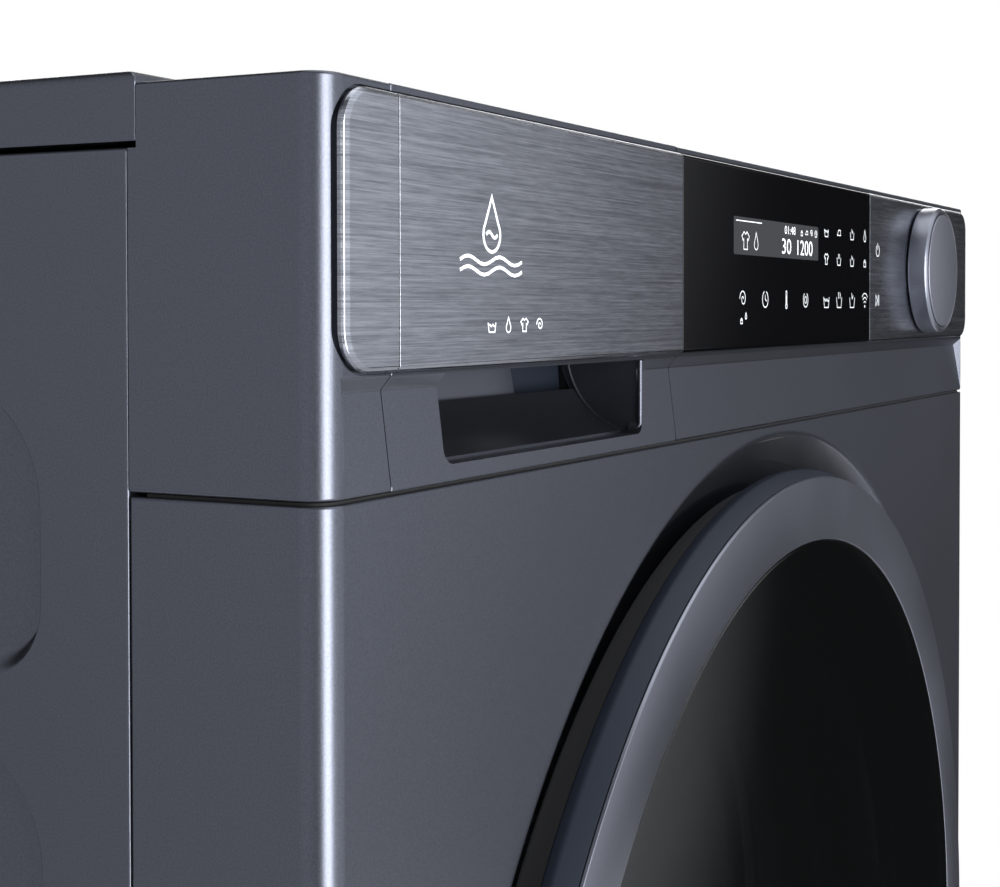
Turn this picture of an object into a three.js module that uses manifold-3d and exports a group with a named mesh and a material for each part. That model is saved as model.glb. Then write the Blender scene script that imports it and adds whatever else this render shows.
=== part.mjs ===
// Front loading washing machine, in millimetres, +Z up.
// X runs across the width, Y from the front (-) to the back (+), Z up from the floor.
// The origin is on the floor, in the middle of the machine's overall box.

import * as THREE from "three";
import { mergeVertices } from "three/addons/utils/BufferGeometryUtils.js";
import Module from "manifold-3d";

const wasm = await Module();
wasm.setup();

// ---------------------------------------------------------------- driving dimensions

const WIDTH = 600;
const HEIGHT = 850;
const DEPTH = 580; // overall, from the knob's face to the inlet's thread
const FIT = 0.3; // gap between pieces that touch
const CUT = 2; // how far a cutting solid runs past what it cuts

// cabinet
const SHEET = 1.5; // pressed steel
const KNOB_PROUD = 13; // the knob's face, in front of the front plane
const INLET_PROUD = 12; // the inlet's thread, behind the rear panel
const CORNER = 7.5; // rounding of the front's vertical corners
const WRAP = 56.6; // how far the front pieces wrap round the sides
const FLANGE = 14; // width of the side panels' folds
const FOOT_GAP = 18; // floor to the cabinet's underside
const PLINTH_HEIGHT = 78.5;
const PLINTH_WALL = 2.5;
const PLINTH_SETBACK = 3;
const WORKTOP = 16.8;
const WORKTOP_FRONT = 54.3;
const WORKTOP_EDGE = 1.5; // rounding of the worktop's edges
const LID_SHEET = 2.4;
const LID_RIM = 8;
const LID_BAYS = 4;
const LID_RIB = 4;
const WORKTOP_GAP = 1.5; // dark line under the worktop
const TOP_STEP = 2.9; // the control panel's top, below the worktop's

// pads pressed into the side panels
const PAD_PITCH = 90;
const PAD_HEIGHT = 65.5;
const PAD_DEPTH = 2.5;
const PAD_INSET = 29.3; // from the panel's front and back edges
const PAD_TOP_RADIUS = 30;
const PAD_BOTTOM_RADIUS = 12;
const PAD_ABOVE_SEAM = 25;

// control panel, heights from the seam under it
const PANEL_HEIGHT = 98.7;
const PANEL_WALL = 2.5;
const LIP = 0.6; // the gap at the seam
const SCOOP_TOP = 28.5;
const SCOOP_EDGE = 25;
const SCOOP_DEPTH = 3;
const SCOOP_FOOT = 0.9;
const SCOOP_MARGIN = 8.5; // from the panel's ends
const PLATE = 2.5; // how far the fascia plates stand proud
const PLATE_LOW = 29.7;
const PLATE_HIGH = 96.3;
const PLATE_MARGIN = 4.4;
const PLATE_CORNER = 10.5;
const KNOB_SECTION = 185.2; // brushed plate to the right of the display

// detergent drawer
const DRAWER_LEFT = 27.1; // from the panel's left end
const DRAWER_WIDTH = 174.2;
const DRAWER_GAP = 0.35;
const DRAWER_CAP = 22; // depth of the drawer's front moulding
const DRAWER_TRAVEL_SLOT = 90; // height of the opening behind it
const GRIP_INSET = 26; // grip opening, from the drawer's ends
const GRIP_LOW = 5;
const GRIP_RADIUS = 28;
const GRIP_CENTRE = [1, 33]; // the pocket's axis, behind the front and above the seam
const TRAY_SIDE = 4.6; // room on each side of the tray
const TRAY_LOW = 8;
const TRAY_HIGH = 70;
const TRAY_FRONT = 34;
const TRAY_WALL = 2;
const DISPENSER_FRONT = 60;
const DISPENSER_LOW = 4;
const DISPENSER_HIGH = 82;

// knob
const KNOB_RADIUS = 30.5;
const KNOB_CAP = 27.3;
const KNOB_STEM = 3;

// door and dish, radii about the drum's axis, depths behind the front plane
const DISH_SIDE = 39.6; // from the cabinet's side to the dish's lip
const DISH_TOP = 4.5; // from the seam to the dish's lip
const DISH_RADIUS = WIDTH / 2 - DISH_SIDE;
const DISH_FLOOR = 24;
const MOUTH_RADIUS = DISH_RADIUS - 82.4;
const FRAME_RADIUS = DISH_RADIUS - 13.4;
const RING_RADIUS = DISH_RADIUS - 16.1;
const RING_WIDTH = 24.7;
const WINDOW_RADIUS = RING_RADIUS - RING_WIDTH;
const RING_FRONT = -12.7;
const RING_BACK = -9;
const REAR_FRAME_BACK = 11.5;
const BOWL_WALL = 4;
const BOWL_BACK = 97;
const HINGE_X = -(DISH_RADIUS - 7.9);
const HINGE_Y = -5;
const HINGE_PIN = 1.8;
const KNUCKLE = 3;
const KNUCKLE_HALF = 22;
const HINGE_HALF = 34;
const LATCH_X = DISH_RADIUS - 32.4;
const LATCH_HALF = 10;
const LATCH_REACH = 40;

// tub, drum and drive
const TUB_SIDE = 28; // from the cabinet's side to the tub
const TUB_RADIUS = WIDTH / 2 - TUB_SIDE;
const TUB_WALL = 4;
const TUB_FRONT = 75;
const TUB_BEHIND = 105; // from the tub's back to the rear panel
const DRUM_GAP = 26; // between the drum and the tub's outside
const DRUM_SHEET = 1.5;
const DRUM_RADIUS = TUB_RADIUS - DRUM_GAP;
const LIFTER_HEIGHT = 42;
const LIFTERS = 3;
const SHAFT_RADIUS = 15;
const BEARING_RADIUS = 31;
const BEARING_WIDTH = 11;
const PULLEY_RADIUS = 150;
const PULLEY_WIDTH = 14;
const MOTOR_PULLEY = 10;
const MOTOR_RADIUS = 58;
const MOTOR_LENGTH = 150;
const MOTOR_DROP = TUB_RADIUS + MOTOR_RADIUS + 14; // drum axis to motor axis
const BELT = 3;
const COUNTERWEIGHT_DEPTH = 29;
const SPRING_RADIUS = 11;
const SPRING_WIRE = 2.4;
const SPRING_TURNS = 6;
const DAMPER_X = 170;
const DAMPER_TUBE = 14;
const DAMPER_ROD = 6;

// base
const BASE_WALL = 3;
const BASE_HEIGHT = 42;
const FOOT_RADIUS = 20;
const FOOT_INSET = 45; // foot axis from the cabinet's side
const FOOT_STEM = 5;
const FILTER_X = WIDTH / 2 - 100;
const FILTER_Z = 58;
const FILTER_RADIUS = 23;
const FLAP_HALF = 48;
const FLAP_LOW = 30;
const FLAP_HEIGHT = 56;
const REAR_HOLE = 160;
const INLET_RADIUS = 13;

// worked out from the above
const BODY = DEPTH - KNOB_PROUD - INLET_PROUD; // front plane to rear panel's face
const FRONT_Y = -DEPTH / 2 + KNOB_PROUD;
const SIDE = WIDTH / 2;
const SEAM_Z = HEIGHT - TOP_STEP - PANEL_HEIGHT;
const DOOR_Z = SEAM_Z - DISH_TOP - DISH_RADIUS;
const TUB_BACK = BODY - TUB_BEHIND;
const PLINTH_TOP = FOOT_GAP + PLINTH_HEIGHT;
const DRAWER = [-SIDE + DRAWER_LEFT, -SIDE + DRAWER_LEFT + DRAWER_WIDTH];
const DISPLAY_RIGHT = SIDE - KNOB_SECTION;
const KNOB_X = (DISPLAY_RIGHT + SIDE - PLATE_MARGIN) / 2;
const KNOB_Z = (PLATE_LOW + PLATE_HIGH) / 2 + 0.5;
const ROUND = 36; // facets of the large rings
const SMALL_ROUND = 24; // facets of the small ones
const GRID = 1000; // corners are set to the nearest 1/GRID mm, so that shared faces meet exactly

// ---------------------------------------------------------------- finishes

const finish = (color, roughness, metalness) => ({ color, roughness, metalness });
const FINISH = {
  graphite: finish(0x4b4f59, 0.5, 0.35),
  brushed: finish(0x6f7276, 0.38, 0.9),
  glass: finish(0x08090b, 0.08, 0),
  gunmetal: finish(0x6a6b73, 0.35, 0.7),
  navy: finish(0x1b1e29, 0.4, 0.1),
  charcoal: finish(0x2b2c2a, 0.6, 0),
  smoked: finish(0x101214, 0.05, 0),
  clear: finish(0xaebcc0, 0.05, 0),
  rubber: finish(0x55585a, 0.75, 0),
  steel: finish(0xb9bcbe, 0.3, 1),
  zinc: finish(0x9a9da0, 0.45, 0.9),
  white: finish(0xe6e8e8, 0.45, 0),
  grey: finish(0x9ba0a3, 0.6, 0),
  concrete: finish(0x8d8b86, 0.9, 0),
  cast: finish(0xa5a7a8, 0.5, 0.8),
  black: finish(0x17181a, 0.6, 0),
  board: finish(0x1f5a36, 0.5, 0),
};

// ---------------------------------------------------------------- shape helpers

// The same triangles with shared corners, no slivers, and faces pointing out.
function closed(geometry) {
  const bare = new THREE.BufferGeometry();
  const snapped = geometry.getAttribute("position").array.map((v) => Math.round(v * GRID) / GRID);
  bare.setAttribute("position", new THREE.BufferAttribute(snapped, 3));
  bare.setIndex(geometry.index);
  const merged = mergeVertices(bare, 1e-4);
  const place = merged.getAttribute("position");
  const corners = merged.index.array;
  const faces = [];
  const [a, b, c] = [new THREE.Vector3(), new THREE.Vector3(), new THREE.Vector3()];
  let volume = 0;
  for (let i = 0; i < corners.length; i += 3) {
    const [p, q, r] = corners.slice(i, i + 3);
    if (p === q || q === r || r === p) continue;
    faces.push([p, q, r]);
    a.fromBufferAttribute(place, p);
    b.fromBufferAttribute(place, q);
    c.fromBufferAttribute(place, r);
    volume += a.dot(b.cross(c));
  }
  const facing = volume < 0 ? faces.map(([p, q, r]) => [p, r, q]) : faces;
  merged.setIndex(facing.flat());
  return merged;
}

// A three.js geometry as a solid that can be joined and cut.
function solid(geometry) {
  const whole = closed(geometry);
  return new wasm.Manifold(
    new wasm.Mesh({
      numProp: 3,
      vertProperties: new Float32Array(whole.getAttribute("position").array),
      triVerts: new Uint32Array(whole.index.array),
    }),
  );
}

function geometryOf(body) {
  const mesh = body.getMesh();
  const geometry = new THREE.BufferGeometry();
  geometry.setAttribute("position", new THREE.BufferAttribute(mesh.vertProperties, 3));
  geometry.setIndex(new THREE.BufferAttribute(mesh.triVerts, 1));
  return geometry;
}

const join = (first, ...rest) => rest.reduce((sum, next) => sum.add(next), first);
const cut = (first, ...rest) => rest.reduce((left, next) => left.subtract(next), first);

// Box between two corners, in any order.
function box(x0, x1, y0, y1, z0, z1) {
  const geometry = new THREE.BoxGeometry(Math.abs(x1 - x0), Math.abs(y1 - y0), Math.abs(z1 - z0));
  geometry.translate((x0 + x1) / 2, (y0 + y1) / 2, (z0 + z1) / 2);
  return solid(geometry);
}

const AXES = {
  X: [new THREE.Vector3(0, 1, 0), new THREE.Vector3(0, 0, 1), new THREE.Vector3(1, 0, 0)],
  Y: [new THREE.Vector3(1, 0, 0), new THREE.Vector3(0, 0, 1), new THREE.Vector3(0, -1, 0)],
  Z: [new THREE.Vector3(1, 0, 0), new THREE.Vector3(0, 1, 0), new THREE.Vector3(0, 0, 1)],
};

// An outline pushed along X (outline in y, z), Y (outline in x, z) or Z (outline in x, y).
function extrude(shape, along, from, to, segments = 6) {
  const [low, high] = [Math.min(from, to), Math.max(from, to)];
  const geometry = new THREE.ExtrudeGeometry(shape, {
    depth: high - low,
    bevelEnabled: false,
    curveSegments: segments,
  });
  geometry.applyMatrix4(new THREE.Matrix4().makeBasis(...AXES[along]));
  const start = along === "Y" ? high : low;
  geometry.translate(...["X", "Y", "Z"].map((axis) => (axis === along ? start : 0)));
  return solid(geometry);
}

const polygon = (points) => new THREE.Shape(points.map(([x, y]) => new THREE.Vector2(x, y)));

// Rectangle with its own radius at each corner: [low left, low right, top right, top left].
function rounded(x0, x1, y0, y1, radii) {
  const [a, b, c, d] = Array.isArray(radii) ? radii : [radii, radii, radii, radii];
  const shape = new THREE.Shape();
  shape.moveTo(x0 + a, y0);
  shape.lineTo(x1 - b, y0);
  if (b) shape.absarc(x1 - b, y0 + b, b, -Math.PI / 2, 0);
  shape.lineTo(x1, y1 - c);
  if (c) shape.absarc(x1 - c, y1 - c, c, 0, Math.PI / 2);
  shape.lineTo(x0 + d, y1);
  if (d) shape.absarc(x0 + d, y1 - d, d, Math.PI / 2, Math.PI);
  shape.lineTo(x0, y0 + a);
  if (a) shape.absarc(x0 + a, y0 + a, a, Math.PI, Math.PI * 1.5);
  return shape;
}

// Turned about the Y axis: points are [radius, y]. An open profile starts and ends on the axis.
function turned(points, segments = ROUND) {
  const path = points.map(([r, y]) => new THREE.Vector2(r, y));
  const onAxis = points[0][0] === 0 && points[points.length - 1][0] === 0;
  if (!onAxis) path.push(path[0].clone());
  return solid(new THREE.LatheGeometry(path, segments));
}

// Round bar along an axis, centred on the two other coordinates.
function bar(along, radius, from, to, centre = [0, 0], facets = SMALL_ROUND) {
  const shape = new THREE.Shape();
  shape.absarc(centre[0], centre[1], radius, 0, Math.PI * 2);
  return extrude(shape, along, from, to, facets / 2);
}

// ---------------------------------------------------------------- scene graph

const machine = new THREE.Group();
const cabinet = new THREE.Group(); // front plane, floor
const panel = new THREE.Group(); // front plane, seam under the control panel
const axis = new THREE.Group(); // front plane, drum's axis
cabinet.position.set(0, FRONT_Y, 0);
panel.position.set(0, FRONT_Y, SEAM_Z);
axis.position.set(0, FRONT_Y, DOOR_Z);
machine.add(cabinet, panel, axis);

function place(group, name, body, look) {
  const mesh = new THREE.Mesh(geometryOf(body), new THREE.MeshStandardMaterial(FINISH[look]));
  mesh.name = name;
  group.add(mesh);
  return mesh;
}

// ---------------------------------------------------------------- cabinet

// Pressed lid with rounded corners and edges, a deep rim and stiffening ribs underneath.
function worktop() {
  const e = WORKTOP_EDGE;
  const underside = HEIGHT - WORKTOP;
  const bay = (2 * (SIDE - LID_RIM) - (LID_BAYS - 1) * LID_RIB) / LID_BAYS;
  const hollows = [...Array(LID_BAYS).keys()].map((i) => {
    const left = -SIDE + LID_RIM + i * (bay + LID_RIB);
    const [front, back] = [WORKTOP_FRONT + LID_RIM, BODY - LID_RIM];
    return box(left, left + bay, front, back, underside - CUT, HEIGHT - LID_SHEET);
  });
  const geometry = new THREE.ExtrudeGeometry(
    rounded(-SIDE + e, SIDE - e, WORKTOP_FRONT + e, BODY - e, 3),
    { depth: WORKTOP - 2 * e, bevelSize: e, bevelThickness: e, bevelSegments: 1, curveSegments: 1 },
  );
  geometry.translate(0, 0, underside + e);
  return cut(solid(geometry), ...hollows);
}

const SIDE_FRONT = WRAP + 0.4;
const SIDE_BACK = BODY - SHEET - FIT;
const SIDE_TOP = HEIGHT - WORKTOP - WORKTOP_GAP;
const SIDE_LOW = FOOT_GAP + FIT;
const HANGER = [SIDE - 38, TUB_BACK - 40]; // the springs' axis, across and back

// Sheet with folded edges, a column of pressed pads and a welded spring hanger.
function sidePanel(sign) {
  const x = (inset) => sign * (SIDE - inset);
  const pads = (grow, deep) => {
    const list = [];
    for (let top = SEAM_Z + PAD_ABOVE_SEAM; top - PAD_HEIGHT > PLINTH_TOP - 30; top -= PAD_PITCH) {
      const outline = rounded(
        SIDE_FRONT + PAD_INSET - grow,
        SIDE_BACK - PAD_INSET + grow,
        top - PAD_HEIGHT - grow,
        top + grow,
        [PAD_BOTTOM_RADIUS, PAD_BOTTOM_RADIUS, PAD_TOP_RADIUS, PAD_TOP_RADIUS],
      );
      list.push(extrude(outline, "X", x(grow ? 0.2 : -CUT), x(deep), 2));
    }
    return list;
  };
  const folded = cut(
    box(x(0), x(FLANGE), SIDE_FRONT, SIDE_BACK, SIDE_LOW, SIDE_TOP),
    box(x(SHEET), x(FLANGE + CUT), SIDE_FRONT + SHEET, SIDE_BACK - SHEET, SIDE_LOW + SHEET, SIDE_TOP - SHEET),
  );
  const [hx, hy] = HANGER;
  const sheet = join(folded, box(x(1), sign * (hx - 16), hy - 14, hy + 14, SIDE_TOP - 22, SIDE_TOP - 18));
  const pressed = join(sheet, ...pads(SHEET, PAD_DEPTH + SHEET));
  return cut(pressed, ...pads(0, PAD_DEPTH));
}

const SERVICE = {
  inlet: [SIDE - 100, HEIGHT - 60],
  gland: [-SIDE + 90, HEIGHT - 60],
};

function rearPanel() {
  const [low, high] = [FOOT_GAP + 24, SIDE_TOP - 2];
  const plate = extrude(rounded(-SIDE + 4, SIDE - 4, low, high, 4), "Y", BODY - SHEET, BODY, 1);
  const hole = (radius, [x, z]) => bar("Y", radius, BODY - SHEET - CUT, BODY + CUT, [x, z]);
  return cut(
    plate,
    bar("Y", REAR_HOLE, BODY - SHEET - CUT, BODY + CUT, [0, DOOR_Z], ROUND),
    hole(INLET_RADIUS + 0.6, SERVICE.inlet),
    hole(8, SERVICE.gland),
  );
}

// Round pressed cover over the pulley.
function rearCover() {
  const y = BODY + FIT;
  return turned(
    [
      [0, y + 8],
      [REAR_HOLE - 22, y + 8],
      [REAR_HOLE - 6, y + SHEET],
      [REAR_HOLE + 15, y + SHEET],
      [REAR_HOLE + 15, y],
      [REAR_HOLE - 7, y],
      [REAR_HOLE - 23, y + 8 - SHEET],
      [0, y + 8 - SHEET],
    ],
    ROUND,
  );
}

const BASE_LOW = SIDE_LOW + SHEET + FIT;
const BASE = { x: SIDE - SHEET - FIT, front: WRAP + 4, back: BODY - SHEET - FIT - SHEET - FIT };
const FEET = [-1, 1].flatMap((side) => [
  [side * (SIDE - FOOT_INSET), BASE.front + 40],
  [side * (SIDE - FOOT_INSET), BASE.back - 40],
]);

// Moulded tray that ties the sides together and carries the feet, dampers and pump.
function baseFrame() {
  const { x, front, back } = BASE;
  const top = BASE_LOW + BASE_HEIGHT;
  const tray = cut(
    box(-x, x, front, back, BASE_LOW, top),
    box(-x + BASE_WALL, x - BASE_WALL, front + BASE_WALL, back - BASE_WALL, BASE_LOW + BASE_WALL, top + CUT),
  );
  const bosses = FEET.map(([u, v]) => bar("Z", 14, BASE_LOW, BASE_LOW + 20, [u, v], 12));
  const bores = FEET.map(([u, v]) => bar("Z", FOOT_STEM + 0.6, BASE_LOW - CUT, BASE_LOW + 22, [u, v], 12));
  const pumpWay = bar("Y", FILTER_RADIUS + 6, front - CUT, front + BASE_WALL + CUT, [FILTER_X, FILTER_Z]);
  return cut(join(tray, ...bosses), ...bores, pumpWay);
}

// Front pieces share this: a wall that wraps round both sides with rounded corners.
function wrap(low, high, wall, front = 0) {
  const outer = rounded(-SIDE, SIDE, front, WRAP, [CORNER, CORNER, 0, 0]);
  const inner = rounded(-SIDE + wall, SIDE - wall, front + wall, WRAP + CUT, [
    CORNER - wall,
    CORNER - wall,
    0,
    0,
  ]);
  return cut(extrude(outer, "Z", low, high, 2), extrude(inner, "Z", low - CUT, high + CUT, 2));
}

// The dish's front surface, from its lip to the mouth.
const DISH = [
  [DISH_RADIUS, 0],
  [DISH_RADIUS - 4.4, 6],
  [DISH_RADIUS - 10.4, 14],
  [DISH_RADIUS - 20.4, 20],
  [DISH_RADIUS - 45.4, DISH_FLOOR],
  [MOUTH_RADIUS, DISH_FLOOR + 2],
];

function frontPanel() {
  const low = PLINTH_TOP + LIP - DOOR_Z;
  const high = SEAM_Z - LIP - DOOR_Z;
  const dish = turned([
    [DISH_RADIUS + 3, 0],
    ...DISH,
    [MOUTH_RADIUS, DISH_FLOOR + 2 + SHEET],
    [DISH_RADIUS - 45.4, DISH_FLOOR + SHEET],
    [DISH_RADIUS - 20, 20 + SHEET],
    [DISH_RADIUS - 9, 15],
    [DISH_RADIUS - 2.7, 6.6],
    [DISH_RADIUS + 1, SHEET],
    [DISH_RADIUS + 3, SHEET],
  ]);
  const opening = bar("Y", DISH_RADIUS + 2, -CUT, SHEET + CUT, [0, 0], ROUND);
  const slot = box(LATCH_X - 11, LATCH_X + 8, 10, 30, -LATCH_HALF - 3, LATCH_HALF + 3);
  return cut(join(cut(wrap(low, high, SHEET), opening), dish), slot);
}

const FLAP = {
  left: FILTER_X - FLAP_HALF,
  right: FILTER_X + FLAP_HALF,
  y: PLINTH_SETBACK,
};

function plinth() {
  const body = wrap(FOOT_GAP + FIT, PLINTH_TOP, PLINTH_WALL, FLAP.y);
  const opening = box(
    FLAP.left - 0.5,
    FLAP.right + 0.5,
    FLAP.y - CUT,
    FLAP.y + PLINTH_WALL + CUT,
    FLAP_LOW - 1,
    FLAP_LOW + FLAP_HEIGHT + 0.5,
  );
  return cut(body, opening);
}

function filterFlap() {
  const outline = rounded(FLAP.left, FLAP.right, FLAP_LOW, FLAP_LOW + FLAP_HEIGHT, 2);
  const dent = rounded(FILTER_X - 14, FILTER_X + 14, FLAP_LOW + FLAP_HEIGHT - 6, FLAP_LOW + FLAP_HEIGHT + CUT, 1);
  const door = extrude(outline, "Y", FLAP.y, FLAP.y + PLINTH_WALL, 1);
  return cut(door, extrude(dent, "Y", FLAP.y - CUT, FLAP.y + 1.2, 1));
}

place(cabinet, "worktop", worktop(), "graphite");
place(cabinet, "side_panel_left", sidePanel(-1), "graphite");
place(cabinet, "side_panel_right", sidePanel(1), "graphite");
place(cabinet, "rear_panel", rearPanel(), "zinc");
const rearCoverMesh = place(cabinet, "rear_cover", rearCover(), "zinc");
rearCoverMesh.position.z = DOOR_Z;
place(cabinet, "base_frame", baseFrame(), "black");
place(axis, "front_panel", frontPanel(), "graphite");
place(cabinet, "plinth", plinth(), "graphite");
place(cabinet, "filter_flap", filterFlap(), "graphite");

// ---------------------------------------------------------------- control panel

const scoop = () =>
  extrude(
    polygon([
      [-CUT, SCOOP_TOP],
      [0, SCOOP_TOP],
      [SCOOP_DEPTH, SCOOP_EDGE],
      [0, SCOOP_FOOT],
      [-CUT, SCOOP_FOOT],
    ]),
    "X",
    -SIDE + SCOOP_MARGIN,
    SIDE - SCOOP_MARGIN,
  );

const SCOOP_BACK = PANEL_WALL + SCOOP_DEPTH;

function controlPanel() {
  const [low, high, wall] = [LIP, PANEL_HEIGHT, PANEL_WALL];
  const outer = extrude(rounded(-SIDE, SIDE, 0, WRAP, [CORNER, CORNER, 0, 0]), "Z", low, high, 2);
  const inner = (front, z0, z1) =>
    box(-SIDE + wall, SIDE - wall, front, WRAP + CUT, z0, z1);
  const deck = box(-SIDE - CUT, SIDE + CUT, WORKTOP_FRONT - FIT, WRAP + CUT, high - 20, high + CUT);
  const front = box(DRAWER[0], DRAWER[1], -CUT, DRAWER_CAP, low - CUT, high + CUT);
  const behind = box(DRAWER[0], DRAWER[1], DRAWER_CAP - 1, WRAP + CUT, low + wall, DRAWER_TRAVEL_SLOT);
  const stem = bar("Y", KNOB_STEM + 0.5, -CUT, 10, [KNOB_X, KNOB_Z], 12);
  return cut(
    outer,
    inner(SCOOP_BACK, low + wall, PLATE_LOW + 2),
    inner(wall, PLATE_LOW + 1, high - wall),
    deck,
    scoop(),
    front,
    behind,
    stem,
  );
}

// One fascia plate between two x positions; an outer end has rounded corners.
function fasciaPlate(x0, x1, leftEnd, rightEnd) {
  const [l, r] = [leftEnd ? PLATE_CORNER : 0, rightEnd ? PLATE_CORNER : 0];
  return extrude(rounded(x0, x1, PLATE_LOW, PLATE_HIGH, [l, r, r, l]), "Y", -PLATE, -FIT, 2);
}

const stemHole = () => bar("Y", KNOB_STEM + 0.5, -PLATE - CUT, CUT, [KNOB_X, KNOB_Z], 12);

function knobBody() {
  const [r, cap] = [KNOB_RADIUS, KNOB_CAP + FIT];
  return turned(
    [
      [0, -11],
      [cap, -11],
      [cap, -12.4],
      [r - 1.6, -12.4],
      [r, -11.2],
      [r, -3.6],
      [r - 0.8, -PLATE - 0.4],
      [KNOB_STEM, -PLATE - 0.4],
      [KNOB_STEM, 9],
      [0, 9],
    ],
    36,
  );
}

function controlBoard() {
  const board = box(DRAWER[1] + 8, SIDE - 20, 8, 9.6, PLATE_LOW + 5, PLATE_HIGH - 6);
  const screen = box(DRAWER[1] + 44, DISPLAY_RIGHT - 72, 3, 8.5, 62, 80);
  const relays = box(DRAWER[1] + 30, DISPLAY_RIGHT - 40, 9, 26, 40, 60);
  const encoder = box(KNOB_X - 8, KNOB_X + 8, 6, 20, KNOB_Z - 8, KNOB_Z + 8);
  const bore = bar("Y", KNOB_STEM + 0.4, 4, 14, [KNOB_X, KNOB_Z], 12);
  return cut(join(board, screen, relays, encoder), bore);
}

place(panel, "control_panel", controlPanel(), "graphite");
place(panel, "fascia_end", fasciaPlate(-SIDE + PLATE_MARGIN, DRAWER[0], true, false), "brushed");
place(panel, "display_glass", fasciaPlate(DRAWER[1], DISPLAY_RIGHT - FIT / 2, false, false), "glass");
place(
  panel,
  "fascia_right",
  cut(fasciaPlate(DISPLAY_RIGHT + FIT / 2, SIDE - PLATE_MARGIN, false, true), stemHole()),
  "brushed",
);
place(panel, "control_board", controlBoard(), "board");

const knobBodyMesh = place(panel, "knob_body", knobBody(), "gunmetal");
const knobCap = turned([[0, -KNOB_PROUD], [KNOB_CAP, -KNOB_PROUD], [KNOB_CAP, -11.3], [0, -11.3]], 36);
const knobCapMesh = place(panel, "knob_cap", knobCap, "brushed");
for (const mesh of [knobBodyMesh, knobCapMesh]) mesh.position.set(KNOB_X, 0, KNOB_Z);

// ---------------------------------------------------------------- detergent drawer

const FRONT_X = [DRAWER[0] + DRAWER_GAP, DRAWER[1] - DRAWER_GAP];
const GRIP_X = [DRAWER[0] + GRIP_INSET, DRAWER[1] - GRIP_INSET];

// Quarter round trough behind the grip opening, moulded with the drawer's front.
function gripPocket() {
  const [cy, cz] = GRIP_CENTRE;
  const arc = (radius) => {
    const points = [];
    for (let i = 0; i <= 8; i += 1) {
      const turn = (i / 8) * (Math.PI / 2);
      points.push([cy + radius * Math.sin(turn), cz - radius * Math.cos(turn)]);
    }
    return points;
  };
  const outline = [...arc(GRIP_RADIUS + TRAY_WALL), ...arc(GRIP_RADIUS).reverse()];
  const cheek = [...arc(GRIP_RADIUS + TRAY_WALL), [cy + SCOOP_BACK, cz], [cy + SCOOP_BACK, GRIP_LOW]];
  const [x0, x1] = GRIP_X;
  return join(
    extrude(polygon(outline), "X", x0 - TRAY_WALL, x1 + TRAY_WALL),
    extrude(polygon(cheek), "X", x0 - TRAY_WALL, x0),
    extrude(polygon(cheek), "X", x1, x1 + TRAY_WALL),
  );
}

function drawerFront() {
  const [low, high, wall] = [LIP, PANEL_HEIGHT, PANEL_WALL];
  const [x0, x1] = FRONT_X;
  const back = DRAWER_CAP - FIT;
  const hollow = (front, z0, z1) => box(x0 + wall, x1 - wall, front, back + CUT, z0, z1);
  const shell = cut(
    box(x0, x1, 0, back, low, high),
    hollow(SCOOP_BACK, low + wall, PLATE_LOW + 2),
    hollow(wall, PLATE_LOW + 1, high - wall),
    scoop(),
  );
  const grip = extrude(rounded(...GRIP_X, GRIP_LOW, SCOOP_TOP, [4, 4, 0, 0]), "Y", -CUT, SCOOP_BACK + CUT, 1);
  const frontOnly = box(x0, x1, SCOOP_BACK - 1, BODY, low, high);
  return cut(join(shell, gripPocket().intersect(frontOnly)), grip);
}

const TRAY_X = [DRAWER[0] + TRAY_SIDE, DRAWER[1] - TRAY_SIDE];
const DISPENSER_BACK = TUB_BACK - 120;
const TRAY_BACK = DISPENSER_BACK - 12;
const COMPARTMENTS = 3;

// Open tray with three compartments and two arms that reach the drawer's front.
function drawerTray() {
  const [x0, x1] = TRAY_X;
  const pitch = (x1 - x0 - TRAY_WALL) / COMPARTMENTS;
  const wells = [];
  for (let i = 0; i < COMPARTMENTS; i += 1) {
    const left = x0 + TRAY_WALL + i * pitch;
    wells.push(
      box(left, left + pitch - TRAY_WALL, TRAY_FRONT + TRAY_WALL, TRAY_BACK - TRAY_WALL, TRAY_LOW + TRAY_WALL, TRAY_HIGH + CUT),
    );
  }
  const arm = (x) => box(x, x + TRAY_WALL, DRAWER_CAP, TRAY_FRONT + 1, 40, TRAY_HIGH);
  const outer = box(x0, x1, TRAY_FRONT, TRAY_BACK, TRAY_LOW, TRAY_HIGH);
  return cut(join(outer, arm(x0), arm(x1 - TRAY_WALL)), ...wells);
}

// Siphon cap that drops into the middle compartment.
function softenerCover() {
  const [x0, x1] = TRAY_X;
  const pitch = (x1 - x0 - TRAY_WALL) / COMPARTMENTS;
  const left = x0 + TRAY_WALL + pitch + 0.6;
  const right = left + pitch - TRAY_WALL - 1.2;
  const y = (TRAY_FRONT + TRAY_BACK) / 2;
  const plate = box(left, right, y, TRAY_BACK - TRAY_WALL - 0.6, TRAY_HIGH - 12, TRAY_HIGH - 10);
  const siphon = bar("Z", 7, TRAY_LOW + TRAY_WALL + 4, TRAY_HIGH - 11, [(left + right) / 2, y + 30], 8);
  return join(plate, siphon);
}

function dispenserBox() {
  const [x0, x1] = [DRAWER[0] - 3, DRAWER[1] + 3];
  return cut(
    box(x0, x1, DISPENSER_FRONT, DISPENSER_BACK, DISPENSER_LOW, DISPENSER_HIGH),
    box(x0 + 2, x1 - 2, DISPENSER_FRONT - CUT, DISPENSER_BACK - 2, DISPENSER_LOW + 2, DISPENSER_HIGH - 2),
  );
}

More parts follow.
